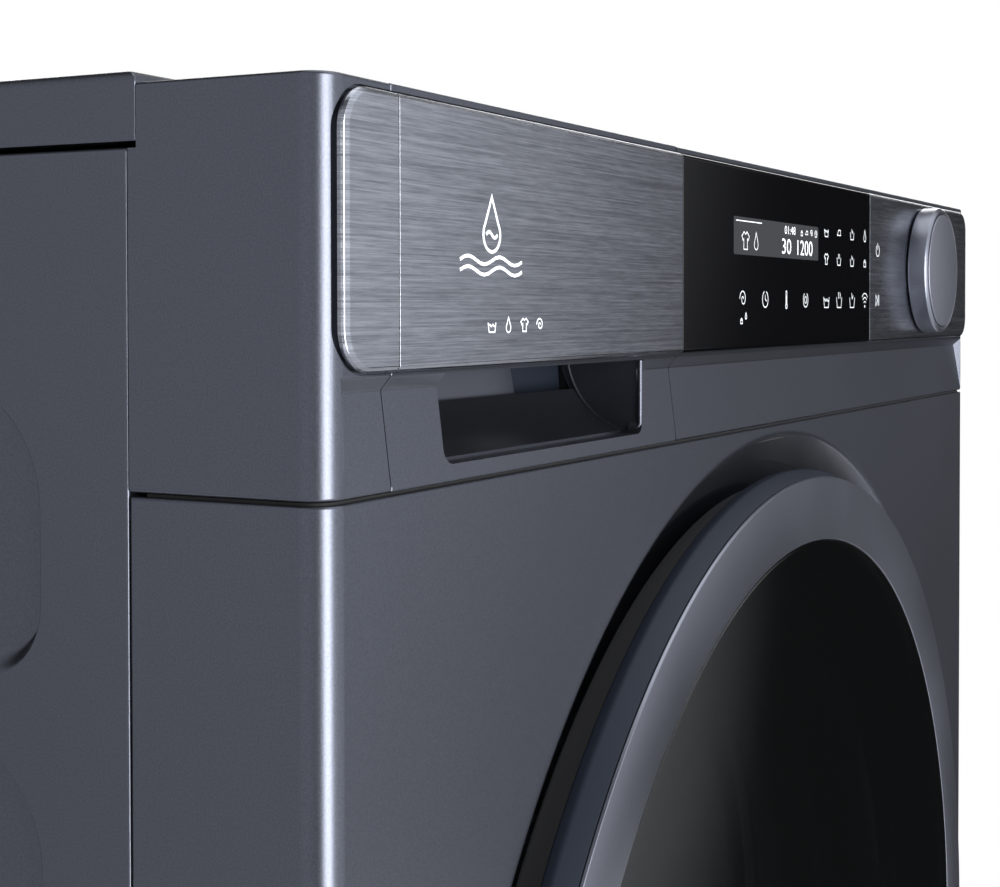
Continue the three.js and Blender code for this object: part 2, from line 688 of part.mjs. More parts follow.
place(panel, "drawer_front", drawerFront(), "graphite");
place(panel, "fascia_drawer", fasciaPlate(FRONT_X[0] + 0.15, FRONT_X[1] - 0.15, false, false), "brushed");
place(panel, "drawer_tray", drawerTray(), "white");
place(panel, "softener_cover", softenerCover(), "navy");
place(panel, "dispenser_box", dispenserBox(), "grey");

// ---------------------------------------------------------------- door

place(
  axis,
  "door_trim_ring",
  turned([
    [WINDOW_RADIUS, RING_FRONT + 0.1],
    [RING_RADIUS - 0.9, RING_FRONT],
    [RING_RADIUS, RING_FRONT + 0.6],
    [RING_RADIUS + 0.5, RING_BACK],
    [WINDOW_RADIUS, RING_BACK],
  ]),
  "gunmetal",
);
place(
  axis,
  "door_outer_frame",
  turned([
    [WINDOW_RADIUS - 14, RING_BACK + FIT],
    [RING_RADIUS + 0.5, RING_BACK + FIT],
    [FRAME_RADIUS, -4.3],
    [FRAME_RADIUS - 0.4, -0.7],
    [FRAME_RADIUS - 4, -FIT],
    [WINDOW_RADIUS - 14, -FIT],
  ]),
  "navy",
);

const BOWL_FLANGE = MOUTH_RADIUS + 26;
place(
  axis,
  "door_rear_frame",
  turned([
    [FRAME_RADIUS - 3.5, 0],
    [FRAME_RADIUS - 6.6, 10.3],
    [FRAME_RADIUS - 11, REAR_FRAME_BACK],
    [MOUTH_RADIUS + 8, REAR_FRAME_BACK],
    [MOUTH_RADIUS + 4, 8],
    [MOUTH_RADIUS + 4, 4.5],
    [BOWL_FLANGE + 2, 4.5],
    [BOWL_FLANGE + 2, 0],
  ]),
  "charcoal",
);
place(
  axis,
  "door_window",
  turned([
    [0, RING_FRONT + 0.1],
    [WINDOW_RADIUS - FIT, RING_FRONT + 0.1],
    [WINDOW_RADIUS - FIT, RING_BACK - 0.2],
    [0, RING_BACK - 0.2],
  ]),
  "smoked",
);

// Thick glass bowl that reaches through the gasket into the drum's mouth.
const BOWL = [
  [MOUTH_RADIUS + 3, 4.1],
  [MOUTH_RADIUS - 8, 14],
  [MOUTH_RADIUS - 12.5, 36],
  [MOUTH_RADIUS - 26, 72],
  [MOUTH_RADIUS - 58, BOWL_BACK - 7],
];
place(
  axis,
  "door_bowl",
  turned([
    [0, BOWL_BACK - BOWL_WALL],
    [MOUTH_RADIUS - 60, BOWL_BACK - 7 - BOWL_WALL],
    [MOUTH_RADIUS - 30, 72 - BOWL_WALL / 2],
    [MOUTH_RADIUS - 12.5 - BOWL_WALL, 35],
    [MOUTH_RADIUS - 8 - BOWL_WALL, 13],
    [MOUTH_RADIUS - 2, 0.1],
    [BOWL_FLANGE, 0.1],
    [BOWL_FLANGE, 4.1],
    ...BOWL,
    [0, BOWL_BACK],
  ]),
  "clear",
);

const knuckle = (low, high) =>
  cut(
    bar("Z", KNUCKLE, low, high, [HINGE_X, HINGE_Y], 8),
    bar("Z", HINGE_PIN + FIT, low - CUT, high + CUT, [HINGE_X, HINGE_Y], 8),
  );

// Bracket fixed in the dish: two knuckles on one plate.
function hingeBracket() {
  const gap = KNUCKLE_HALF + FIT;
  const plate = box(HINGE_X - 2.1, HINGE_X + 1.4, HINGE_Y + KNUCKLE + 0.6, 4, -HINGE_HALF, HINGE_HALF);
  const web = (low, high) => box(HINGE_X - 2.1, HINGE_X + 1.4, HINGE_Y + 2.4, 0, low, high);
  return join(
    knuckle(gap, HINGE_HALF),
    knuckle(-HINGE_HALF, -gap),
    web(gap, HINGE_HALF),
    web(-HINGE_HALF, -gap),
    plate,
  );
}

// Arm on the door: a knuckle and a cranked plate that runs round the frame to its back.
function hingeArm() {
  const half = KNUCKLE_HALF;
  const back = REAR_FRAME_BACK + FIT;
  const plate = polygon([
    [HINGE_X + 2.3, HINGE_Y - 1],
    [HINGE_X + 2.3, 7],
    [HINGE_X + 8, back + 3],
    [HINGE_X + 60, back + 3],
    [HINGE_X + 60, back],
    [HINGE_X + 9.5, back],
    [HINGE_X + 5, 5.5],
    [HINGE_X + 5, HINGE_Y - 1],
  ]);
  return join(knuckle(-half, half), extrude(plate, "Z", -half, half));
}

place(axis, "door_hinge_bracket", hingeBracket(), "zinc");
place(axis, "door_hinge_pin", bar("Z", HINGE_PIN, -HINGE_HALF + 1, HINGE_HALF - 1, [HINGE_X, HINGE_Y], 8), "steel");
place(axis, "door_hinge_arm", hingeArm(), "zinc");

const LATCH_ROOT = REAR_FRAME_BACK + FIT;
place(
  axis,
  "door_latch_hook",
  join(
    box(LATCH_X - 2, LATCH_X + 2, LATCH_ROOT, LATCH_REACH, -LATCH_HALF, LATCH_HALF),
    box(LATCH_X - 6, LATCH_X + 2, LATCH_REACH - 6, LATCH_REACH, -LATCH_HALF, LATCH_HALF),
  ),
  "zinc",
);
place(
  axis,
  "door_lock",
  cut(
    box(LATCH_X - 17, LATCH_X + 17, DISH_FLOOR + 4, DISH_FLOOR + 38, -LATCH_HALF - 20, LATCH_HALF + 20),
    box(LATCH_X - 11, LATCH_X + 8, DISH_FLOOR, LATCH_REACH + 8, -LATCH_HALF - 3, LATCH_HALF + 3),
  ),
  "black",
);

// ---------------------------------------------------------------- gasket, tub and drum

// Rubber bellows: a lip round the mouth, a bead behind the sheet, one fold and the tub end.
const M = MOUTH_RADIUS;
place(
  axis,
  "gasket",
  turned([
    [M - 8.5, 22.6],
    [M + 8, 22.6],
    [M + 8, 25.1],
    [M - 0.4, 25.3],
    [M - 0.4, 27.9],
    [M + 7, 27.9],
    [M + 7, 32],
    [M, 35.5],
    [M + 18, 47],
    [M + 6, 62],
    [M + 9, TUB_FRONT - 0.4],
    [M + 3, TUB_FRONT - 0.4],
    [M + 1, 61],
    [M + 13, 47.5],
    [M - 5, 37.5],
    [M - 11.7, 36.5],
  ]),
  "rubber",
);

const R = TUB_RADIUS;
const TUB_SPLIT = (TUB_FRONT + TUB_BACK) / 2 - 12;
place(
  axis,
  "tub_front",
  turned([
    [M + 2.5, TUB_FRONT],
    [M + 10, TUB_FRONT],
    [M + 12, TUB_FRONT + 5],
    [R - 10, TUB_FRONT + 9],
    [R, TUB_FRONT + 19],
    [R, TUB_SPLIT],
    [R - TUB_WALL, TUB_SPLIT],
    [R - TUB_WALL, TUB_FRONT + 21],
    [R - 12, TUB_FRONT + 13],
    [M + 10, TUB_FRONT + 9],
    [M + 2.5, TUB_FRONT + 5],
  ]),
  "grey",
);

const T = TUB_BACK;
const BORE = BEARING_RADIUS + FIT;

// Rear half with the bearing hub and the two lugs that the springs hang from.
function tubRear() {
  const shell = turned([
    [R, TUB_SPLIT + FIT],
    [R, T - 8],
    [R - 8, T],
    [50, T + 2],
    [46, T + 14],
    [BORE, T + 14],
    [BORE, T - 16],
    [46, T - 16],
    [50, T - TUB_WALL],
    [R - 10, T - TUB_WALL],
    [R - TUB_WALL, T - 10],
    [R - TUB_WALL, TUB_SPLIT + FIT],
  ]);
  const [hx, hy] = HANGER;
  const lug = (sign) =>
    box(sign * (hx - 12), sign * (hx + 8), hy - 8, hy + 8, 30, LUG_TOP);
  const core = bar("Y", R - TUB_WALL / 2, hy - 10, hy + 10, [0, 0], ROUND);
  return join(shell, cut(lug(-1), core), cut(lug(1), core));
}

const LUG_TOP = 140;
place(axis, "tub_rear", tubRear(), "grey");

for (const [name, y] of [["bearing_front", T - 14], ["bearing_rear", T + 13 - BEARING_WIDTH]]) {
  const ring = turned(
    [
      [SHAFT_RADIUS + FIT, y],
      [BEARING_RADIUS, y],
      [BEARING_RADIUS, y + BEARING_WIDTH],
      [SHAFT_RADIUS + FIT, y + BEARING_WIDTH],
    ],
    SMALL_ROUND,
  );
  place(axis, name, ring, "steel");
}

// Concrete block under the front of the tub, a ring sector.
function counterweightFront() {
  const [r0, r1] = [M + 22, R - 8];
  const [from, to] = [THREE.MathUtils.degToRad(208), THREE.MathUtils.degToRad(332)];
  const shape = new THREE.Shape();
  shape.absarc(0, 0, r1, from, to);
  shape.absarc(0, 0, r0, to, from, true);
  const back = TUB_FRONT + 5 - FIT;
  return extrude(shape, "Y", back - COUNTERWEIGHT_DEPTH, back, 7);
}

function counterweightTop() {
  const left = DRAWER[1] + 20; // clear of the dispenser
  const block = box(left, SIDE - 150, T - 320, T - 60, R - 60, R + 54);
  return cut(block, bar("Y", R + 0.6, T - 330, T, [0, 0], ROUND));
}

place(axis, "counterweight_front", counterweightFront(), "concrete");
place(axis, "counterweight_top", counterweightTop(), "concrete");

const DRUM_BACK = T - 22;
const D = DRUM_RADIUS;
place(
  axis,
  "drum_shell",
  turned([
    [0, DRUM_BACK],
    [D - 6, DRUM_BACK],
    [D, DRUM_BACK - 6],
    [D, TUB_FRONT + 33],
    [D - 8, TUB_FRONT + 23],
    [M + 18, TUB_FRONT + 20.5],
    [M + 9, TUB_FRONT + 15.5],
    [M + 5, TUB_FRONT + 17],
    [M + 6, TUB_FRONT + 19],
    [M + 9, TUB_FRONT + 17.4],
    [M + 17.4, TUB_FRONT + 22.1],
    [D - 8.7, TUB_FRONT + 24.6],
    [D - DRUM_SHEET, TUB_FRONT + 33.6],
    [D - DRUM_SHEET, DRUM_BACK - 6.6],
    [D - 6.6, DRUM_BACK - DRUM_SHEET],
    [0, DRUM_BACK - DRUM_SHEET],
  ]),
  "steel",
);

// Lifters: tapered ribs along the drum, evenly spaced, one at the top.
for (let i = 0; i < LIFTERS; i += 1) {
  const seat = D - DRUM_SHEET - 1.2;
  const outline = polygon([
    [-30, seat - 2.2],
    [-12, seat - LIFTER_HEIGHT + 6],
    [-5, seat - LIFTER_HEIGHT],
    [5, seat - LIFTER_HEIGHT],
    [12, seat - LIFTER_HEIGHT + 6],
    [30, seat - 2.2],
    [0, seat],
  ]);
  const rib = extrude(outline, "Y", TUB_FRONT + 40, DRUM_BACK - 12);
  const mesh = place(axis, `drum_lifter_${i + 1}`, rib, "charcoal");
  mesh.rotation.y = (i * 2 * Math.PI) / LIFTERS;
}

// Three armed spider cast onto the drum's shaft.
function spider() {
  const y = DRUM_BACK + FIT;
  const thick = 5;
  const arms = [];
  for (let i = 0; i < LIFTERS; i += 1) {
    const turn = Math.PI / 2 + (i * 2 * Math.PI) / LIFTERS;
    const along = [Math.cos(turn), Math.sin(turn)];
    const at = (out, side) => [along[0] * out - along[1] * side, along[1] * out + along[0] * side];
    arms.push(extrude(polygon([at(10, -18), at(D - 14, -10), at(D - 14, 10), at(10, 18)]), "Y", y, y + thick));
  }
  return join(
    bar("Y", 28, y, y + thick, [0, 0], 12),
    bar("Y", SHAFT_RADIUS, y, T + 40, [0, 0], 16),
    ...arms,
  );
}

place(axis, "drum_spider", spider(), "cast");

const PULLEY_Y = T + 22;

function drumPulley() {
  const p = PULLEY_RADIUS;
  const [front, back] = [PULLEY_Y, PULLEY_Y + PULLEY_WIDTH];
  const body = turned(
    [
      [SHAFT_RADIUS + FIT, front],
      [28, front],
      [28, front + 5],
      [p - 8, front + 5],
      [p - 8, front],
      [p, front],
      [p, back],
      [p - 8, back],
      [p - 8, front + 9],
      [28, front + 9],
      [28, back],
      [SHAFT_RADIUS + FIT, back],
    ],
    ROUND,
  );
  const windows = [];
  for (let i = 0; i < 6; i += 1) {
    const turn = (i * Math.PI) / 3;
    windows.push(bar("Y", 30, front - CUT, back + CUT, [88 * Math.cos(turn), 88 * Math.sin(turn)], 8));
  }
  return cut(body, ...windows);
}

// Loop outline round the drum pulley and the motor's, grown by an offset.
function beltLoop(offset) {
  const [big, small] = [PULLEY_RADIUS + offset, MOTOR_PULLEY + offset];
  const down = -(big - small) / MOTOR_DROP;
  const lean = Math.asin(down);
  const loop = [];
  const arc = (radius, centre, from, to, steps) => {
    for (let i = 0; i <= steps; i += 1) {
      const turn = from + ((to - from) * i) / steps;
      loop.push([radius * Math.cos(turn), centre + radius * Math.sin(turn)]);
    }
  };
  arc(big, 0, lean, Math.PI - lean, 30);
  arc(small, -MOTOR_DROP, Math.PI - lean, 2 * Math.PI + lean, 10);
  return polygon(loop);
}

const beltAt = [PULLEY_Y + 2, PULLEY_Y + PULLEY_WIDTH - 2];
const belt = cut(
  extrude(beltLoop(FIT + BELT + 0.7), "Y", ...beltAt),
  extrude(beltLoop(FIT + 0.7), "Y", beltAt[0] - CUT, beltAt[1] + CUT),
);

// Motor hung under the tub by two lugs that follow its curve.
function motor() {
  const back = T + 12;
  const front = back - MOTOR_LENGTH;
  const can = bar("Y", MOTOR_RADIUS, front, back, [0, -MOTOR_DROP], 24);
  const lug = (y) => box(-36, 36, y, y + 24, -MOTOR_DROP, -R + 30);
  const tubSpace = bar("Y", R + 0.6, front - CUT, back + CUT, [0, 0], ROUND);
  const bore = bar("Y", 6.4, back - 40, back + CUT, [0, -MOTOR_DROP], 12);
  return cut(join(can, cut(join(lug(front + 12), lug(back - 46)), tubSpace)), bore);
}

place(axis, "drum_pulley", drumPulley(), "cast");
place(axis, "drive_belt", belt, "black");
place(axis, "motor", motor(), "zinc");
place(
  axis,
  "motor_pulley",
  join(
    bar("Y", MOTOR_PULLEY, PULLEY_Y, PULLEY_Y + PULLEY_WIDTH, [0, -MOTOR_DROP], 16),
    bar("Y", 6, T + 12 - 38, PULLEY_Y + 1, [0, -MOTOR_DROP], 12),
  ),
  "steel",
);

// ---------------------------------------------------------------- suspension

class Helix extends THREE.Curve {
  constructor(radius, height, turns) {
    super();
    Object.assign(this, { radius, height, turns });
  }

  getPoint(t, target = new THREE.Vector3()) {
    const turn = t * this.turns * 2 * Math.PI;
    return target.set(this.radius * Math.cos(turn), this.radius * Math.sin(turn), t * this.height);
  }
}

const SPRING_LOW = DOOR_Z + LUG_TOP + SPRING_WIRE + 2;
const SPRING_HIGH = SIDE_TOP - 22 - SPRING_WIRE - 2;
const wire = new THREE.Shape();
wire.absarc(0, 0, SPRING_WIRE, 0, Math.PI * 2);
for (const [word, sign] of [["left", -1], ["right", 1]]) {
  const coil = new THREE.ExtrudeGeometry(wire, {
    steps: SPRING_TURNS * 9,
    curveSegments: 2,
    extrudePath: new Helix(SPRING_RADIUS, SPRING_HIGH - SPRING_LOW, SPRING_TURNS),
  });
  const spring = place(cabinet, `spring_${word}`, solid(coil), "steel");
  spring.position.set(sign * HANGER[0], HANGER[1], SPRING_LOW);

  const floor = BASE_LOW + BASE_WALL + FIT;
  const tubAbove = DOOR_Z - Math.sqrt(R ** 2 - (DAMPER_X - DAMPER_ROD) ** 2) - 1;
  const y = T - 230;
  const tubeTop = floor + (tubAbove - floor) * 0.6;
  const tube = cut(
    bar("Z", DAMPER_TUBE, floor, tubeTop, [0, 0], 12),
    bar("Z", DAMPER_ROD + 0.8, floor + 20, tubeTop + CUT, [0, 0], 8),
  );
  const rod = bar("Z", DAMPER_ROD, floor + 40, tubAbove, [0, 0], 8);
  const tubeMesh = place(cabinet, `damper_tube_${word}`, tube, "zinc");
  const rodMesh = place(cabinet, `damper_rod_${word}`, rod, "steel");
  for (const mesh of [tubeMesh, rodMesh]) mesh.position.set(sign * DAMPER_X, y, 0);
}

// ---------------------------------------------------------------- water and feet

// Solenoid valve inside, with its threaded nipple through the rear panel.
function inletValve() {
  const [x, z] = SERVICE.inlet;
  const inside = BODY - SHEET - FIT;
  return cut(
    join(
      box(x - 28, x + 28, inside - 56, inside, z - 18, z + 18),
      bar("Y", INLET_RADIUS, inside - 4, BODY + INLET_PROUD, [x, z]),
    ),
    bar("Y", INLET_RADIUS - 4, BODY - 6, BODY + INLET_PROUD + CUT, [x, z], 16),
  );
}

// Pump with its lint trap, whose mouth stands behind the plinth's flap.
function drainPump() {
  const centre = [FILTER_X, FILTER_Z];
  const front = 30;
  const throat = bar("Y", FILTER_RADIUS + 3, front, front + 70, centre);
  const motorCan = bar("Y", 20, front + 68, front + 130, centre);
  const volute = bar("Y", 30, front + 70, front + 92, centre);
  const mouth = bar("Y", FILTER_RADIUS - 4, front - CUT, front + 60, centre);
  return cut(join(throat, volute, motorCan), mouth);
}

function filterCap() {
  const centre = [FILTER_X, FILTER_Z];
  return join(
    bar("Y", FILTER_RADIUS, 20, 29.6, centre),
    bar("Y", FILTER_RADIUS - 4.6, 29, 60, centre, 16),
    box(FILTER_X - 3, FILTER_X + 3, 12, 21, FILTER_Z - FILTER_RADIUS + 3, FILTER_Z + FILTER_RADIUS - 3),
  );
}

place(cabinet, "inlet_valve", inletValve(), "white");
place(cabinet, "drain_pump", drainPump(), "grey");
place(cabinet, "filter_cap", filterCap(), "black");

// Foot: rubber shod pad, neck, lock nut under the base and a threaded stem.
const FOOT_NAMES = ["foot_front_left", "foot_rear_left", "foot_front_right", "foot_rear_right"];
FEET.forEach(([x, y], i) => {
  const foot = join(
    bar("Z", FOOT_RADIUS, 0, 8, [0, 0], 16),
    bar("Z", 8, 7, 13, [0, 0], 8),
    bar("Z", 10, 13, BASE_LOW - FIT, [0, 0], 6),
    bar("Z", FOOT_STEM, 12, BASE_LOW + 32, [0, 0], 8),
  );
  place(cabinet, FOOT_NAMES[i], foot, "black").position.set(x, y, 0);
});

export default machine;
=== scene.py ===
# %% [markdown]
# # A front loading washing machine
# The machine stands on the floor with its front towards -Y. Its working parts come from a packed
# frame, and this lesson gives them their finished surfaces. Everything is in the frame's own
# metres. The first cell loads that frame, and every later cell only adds to it.

import math

import bmesh
import bpy
from mathutils import Matrix, Vector


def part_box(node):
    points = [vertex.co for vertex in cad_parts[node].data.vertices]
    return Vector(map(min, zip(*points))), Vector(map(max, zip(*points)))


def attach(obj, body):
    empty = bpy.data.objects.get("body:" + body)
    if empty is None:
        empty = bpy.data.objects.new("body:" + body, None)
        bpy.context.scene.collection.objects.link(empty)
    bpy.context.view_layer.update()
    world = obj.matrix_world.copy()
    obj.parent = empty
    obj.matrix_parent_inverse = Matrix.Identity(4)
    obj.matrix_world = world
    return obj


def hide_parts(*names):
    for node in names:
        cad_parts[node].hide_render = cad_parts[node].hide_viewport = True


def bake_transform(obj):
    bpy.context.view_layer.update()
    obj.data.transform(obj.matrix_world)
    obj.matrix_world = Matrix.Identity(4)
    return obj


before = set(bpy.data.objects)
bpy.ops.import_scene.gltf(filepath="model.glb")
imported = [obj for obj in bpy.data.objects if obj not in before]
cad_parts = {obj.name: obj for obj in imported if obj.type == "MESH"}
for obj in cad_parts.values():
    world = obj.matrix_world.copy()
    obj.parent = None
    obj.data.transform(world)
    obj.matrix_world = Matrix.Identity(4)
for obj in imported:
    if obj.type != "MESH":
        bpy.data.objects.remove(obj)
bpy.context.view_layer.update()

# %% [markdown]
# ## Stations
# Lengths on a washing machine are quoted in millimetres, so the shapes here are too: x across,
# y behind the front sheet, z above the floor. The stations are read from the frame's nodes, so a
# piece lands where the frame has it. `MM` turns them into metres when a mesh is made.

# %% Stations
MM = 0.001


def reach(node):
    """A node's lowest and highest corner, in millimetres."""
    return [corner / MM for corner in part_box(node)]


FRONT = reach("front_panel")[0].y  # the front sheet, in the frame
SIDE = reach("side_panel_right")[1].x
SEAM = reach("control_panel")[0].z - 0.6  # line between door panel and control panel
HEIGHT = reach("worktop")[1].z
BACK = reach("rear_panel")[1].y - FRONT
AXIS = sum(corner.z for corner in reach("door_trim_ring")) / 2  # the drum's axis
DISH = SIDE - 39.6  # the dish's lip, a radius
MOUTH = DISH - 82.4  # the door opening, a radius
KNOB = (reach("knob_body")[0].x / 2 + reach("knob_body")[1].x / 2, SEAM + 63.5)
DRAWER = (reach("drawer_front")[0].x, reach("drawer_front")[1].x)
print("front", FRONT, "side", SIDE, "seam", SEAM, "axis", AXIS, "back", BACK)

# %% [markdown]
# ## Making meshes
# Sheet metal and mouldings are outlines that were folded, turned or pushed through a die. So
# four makers are enough: `loft` joins a stack of outlines, `prism` pushes one outline along an
# axis, `revolve` turns a profile about the drum's axis, and `carve` takes one solid from another
# with an exact boolean. Primitive cubes and cylinders are left alone, because a real edge is
# never perfectly sharp: `fillet` rounds outlines, and `soften` adds a bevel to the rest.

# %% Outlines
def fillet(corners, radii, steps=6):
    """A closed outline with rounded corners. A radius of 0 keeps the corner."""
    if not hasattr(radii, "__len__"):
        radii = [radii] * len(corners)
    made = []
    for i, (corner, radius) in enumerate(zip(corners, radii)):
        here = Vector(corner)
        before = Vector(corners[i - 1]) - here
        after = Vector(corners[(i + 1) % len(corners)]) - here
        half = before.angle(after) / 2
        if not radius or half > math.radians(88):
            made.append(tuple(here))
            continue
        back = min(radius / math.tan(half), 0.49 * min(before.length, after.length))
        before, after = before.normalized(), after.normalized()
        centre = here + (before + after).normalized() * (back / math.cos(half))
        start, end = here + before * back - centre, here + after * back - centre
        sweep = math.pi - 2 * half
        for k in range(steps + 1):
            t = k / steps * sweep
            spoke = (start * math.sin(sweep - t) + end * math.sin(t)) / math.sin(sweep)
            made.append(tuple(centre + spoke))
    return made


def round_rect(x0, x1, z0, z1, radii, steps=6):
    """Rectangle with a radius for each corner: low left, low right, top right, top left."""
    return fillet([(x0, z0), (x1, z0), (x1, z1), (x0, z1)], radii, steps)


def circle(x, z, radius, count=48):
    turns = [2 * math.pi * k / count for k in range(count)]
    return [(x + radius * math.cos(t), z + radius * math.sin(t)) for t in turns]


# %% Makers
def piece(name, points, faces):
    """A mesh object from points in millimetres, welded, with its faces turned outwards."""
    mesh = bpy.data.meshes.new(name)
    mesh.from_pydata([(x * MM, (y + FRONT) * MM, z * MM) for x, y, z in points], [], faces)
    work = bmesh.new()
    work.from_mesh(mesh)
    bmesh.ops.remove_doubles(work, verts=work.verts, dist=1e-7)
    bmesh.ops.dissolve_degenerate(work, edges=work.edges, dist=1e-7)
    bmesh.ops.recalc_face_normals(work, faces=work.faces)
    work.to_mesh(mesh)
    work.free()
    made = bpy.data.objects.new(name, mesh)
    bpy.context.scene.collection.objects.link(made)
    return made


def loft(name, rings):
    """A closed skin over a stack of outlines that have the same number of points."""
    count = len(rings[0])
    points = [p for ring in rings for p in ring]
    faces = [tuple(range(count)), tuple(range(len(points) - count, len(points)))]
    for level in range(len(rings) - 1):
        for k in range(count):
            a, b = level * count + k, level * count + (k + 1) % count
            faces.append((a, b, b + count, a + count))
    return piece(name, points, faces)


def lay(outline, along, at):
    """An outline's points in space: pushed along X it holds (y, z), along Y (x, z), along Z (x, y)."""
    if along == "X":
        return [(at, u, v) for u, v in outline]
    if along == "Y":
        return [(u, at, v) for u, v in outline]
    return [(u, v, at) for u, v in outline]


def prism(name, outline, along, start, end):
    return loft(name, [lay(outline, along, start), lay(outline, along, end)])


def block(name, x0, x1, y0, y1, z0, z1):
    return prism(name, [(x0, z0), (x1, z0), (x1, z1), (x0, z1)], "Y", y0, y1)


def revolve(name, profile, centre=None, segments=160, along="Y"):
    """A closed profile of (radius, depth) turned about an axis; points on the axis are welded."""
    u, v = centre or (0, AXIS)
    count = len(profile)
    points, faces = [], []
    for i in range(segments):
        turn = 2 * math.pi * i / segments
        for radius, depth in profile:
            spot = (u + radius * math.cos(turn), v + radius * math.sin(turn))
            points += lay([spot], along, depth)
        ahead = (i + 1) % segments * count
        for k in range(count):
            here, nearby = i * count, (k + 1) % count
            faces.append((here + k, here + nearby, ahead + nearby, ahead + k))
    return piece(name, points, faces)


# %% Booleans and bevels
def bake(target):
    """Turns a piece's modifiers into its mesh."""
    bpy.context.view_layer.update()
    seen = target.evaluated_get(bpy.context.evaluated_depsgraph_get())
    made = bpy.data.meshes.new_from_object(seen)
    target.modifiers.clear()
    target.data = made
    return target


def carve(target, *tools, how="DIFFERENCE"):
    for tool in tools:
        step = target.modifiers.new("cut", "BOOLEAN")
        step.operation, step.solver, step.object = how, "EXACT", tool
        bake(target)
        bpy.data.objects.remove(tool)
    return target


def weld(target, *tools):
    return carve(target, *tools, how="UNION")


def shade(target, angle=32):
    for face in target.data.polygons:
        face.use_smooth = True
    target.data.set_sharp_from_angle(angle=math.radians(angle))
    return target


def level(target):
    """Lets a large face's own normal win at its rim, so that flat sheet is shaded flat."""
    step = target.modifiers.new("flat faces", "WEIGHTED_NORMAL")
    step.mode, step.keep_sharp, step.weight = "FACE_AREA", True, 90
    return target


def soften(target, width, segments=2, angle=32):
    """Rounds every edge that is sharper than the angle, as paint and moulding do."""
    shade(target, angle)
    step = target.modifiers.new("edges", "BEVEL")
    step.width, step.segments = width * MM, segments
    step.limit_method, step.angle_limit = "ANGLE", math.radians(angle)
    step.use_clamp_overlap = False
    return level(target)


def settle(target, body, finish, slot, *nodes):
    """Gives a piece its finish and its body, and hides the nodes it stands for. The slot is not used."""
    target.data.materials.clear()
    target.data.materials.append(finish)
    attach(target, body)
    if nodes:
        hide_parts(*nodes)
    print(f"{target.name}: {len(target.data.polygons)} faces, rides on {body}")
    return target


# %% [markdown]
# ## Shader arithmetic
# A finish is a small tree of nodes. Written out by hand such a tree is hard to read, so `Wire`
# lets a socket be used in an ordinary expression: `0.4 + 0.2 * grain` adds its own Math nodes.
# `Finish.node` makes any other node. Colours are blended with a Mix node, because a Math node
# would turn them grey, and positions are scaled with Vector Math.

# %% Wire and Finish
class Wire:
    """A socket that can stand in arithmetic."""

    def __init__(self, nodes, socket):
        self.nodes, self.socket = nodes, socket

    def math(self, operation, *values):
        return self.nodes.node("ShaderNodeMath", {"operation": operation}, dict(enumerate(values)))

    def __add__(self, other):
        return self.math("ADD", self, other)

    def __radd__(self, other):
        return self.math("ADD", other, self)

    def __sub__(self, other):
        return self.math("SUBTRACT", self, other)

    def __rsub__(self, other):
        return self.math("SUBTRACT", other, self)

    def __mul__(self, other):
        return self.math("MULTIPLY", self, other)

    def __rmul__(self, other):
        return self.math("MULTIPLY", other, self)


class Nodes:
    """A node tree, and the one method that adds a node to it."""

    def __init__(self, owner):
        owner.use_nodes = True
        self.tree = owner.node_tree

    def node(self, kind, settings=None, inputs=None, out=0):
        made = self.tree.nodes.new(kind)
        for key, value in (settings or {}).items():
            setattr(made, key, value)
        for key, value in (inputs or {}).items():
            if isinstance(value, Wire):
                self.tree.links.new(value.socket, made.inputs[key])
            else:
                made.inputs[key].default_value = value
        return Wire(self, made.outputs[out])


class Finish(Nodes):
    """A material on one Principled shader. Constants go straight on the shader's sockets."""

    def __init__(self, name, colour, rough, metal=0.0, **constants):
        self.material = bpy.data.materials.new(name)
        super().__init__(self.material)
        self.shader = self.tree.nodes["Principled BSDF"]
        self.set("Base Color", (*colour, 1.0))
        self.set("Roughness", rough)
        self.set("Metallic", metal)
        for socket, value in constants.items():
            self.set(socket.replace("_", " "), value)

    def set(self, socket, value):
        self.shader.inputs[socket].default_value = value

    def feed(self, socket, wire):
        self.tree.links.new(wire.socket, self.shader.inputs[socket])
        return self

    def place(self, scale=(1, 1, 1)):
        """The surface's own position in metres, stretched by a scale for each axis."""
        spot = self.node("ShaderNodeTexCoord", out=3)
        settings = {"operation": "MULTIPLY"}
        return self.node("ShaderNodeVectorMath", settings, {0: spot, 1: scale})

    def noise(self, scale, detail=2.0, stretch=(1, 1, 1), rough=0.5):
        inputs = {"Vector": self.place(stretch), "Scale": scale, "Detail": detail, "Roughness": rough}
        return self.node("ShaderNodeTexNoise", {"noise_dimensions": "3D"}, inputs)

    def tint(self, amount, dark, light):
        """Base colour between two tones, by a wire from 0 to 1."""
        mixed = self.node(
            "ShaderNodeMix",
            {"data_type": "RGBA", "clamp_factor": True},
            {0: amount, 6: (*dark, 1.0), 7: (*light, 1.0)},
            out=2,
        )
        return self.feed("Base Color", mixed)

    def bump(self, height, depth, strength=1.0):
        """Relief from a wire, with its depth in millimetres."""
        inputs = {"Height": height, "Distance": depth * MM, "Strength": strength}
        return self.feed("Normal", self.node("ShaderNodeBump", {}, inputs))


def tone(red, green, blue):
    """Linear colour from the 0 to 255 numbers of a paint chart."""
    chart = [channel / 255 for channel in (red, green, blue)]
    return tuple(c / 12.92 if c <= 0.04045 else ((c + 0.055) / 1.055) ** 2.4 for c in chart)


# %% [markdown]
# ## The camera
# The machine is seen from the front left, a little above the control panel, with a longer lens
# than the eye's. The lens is shifted a little, as an architect's camera is, so that upright edges
# stay upright. Depth of field stays off.

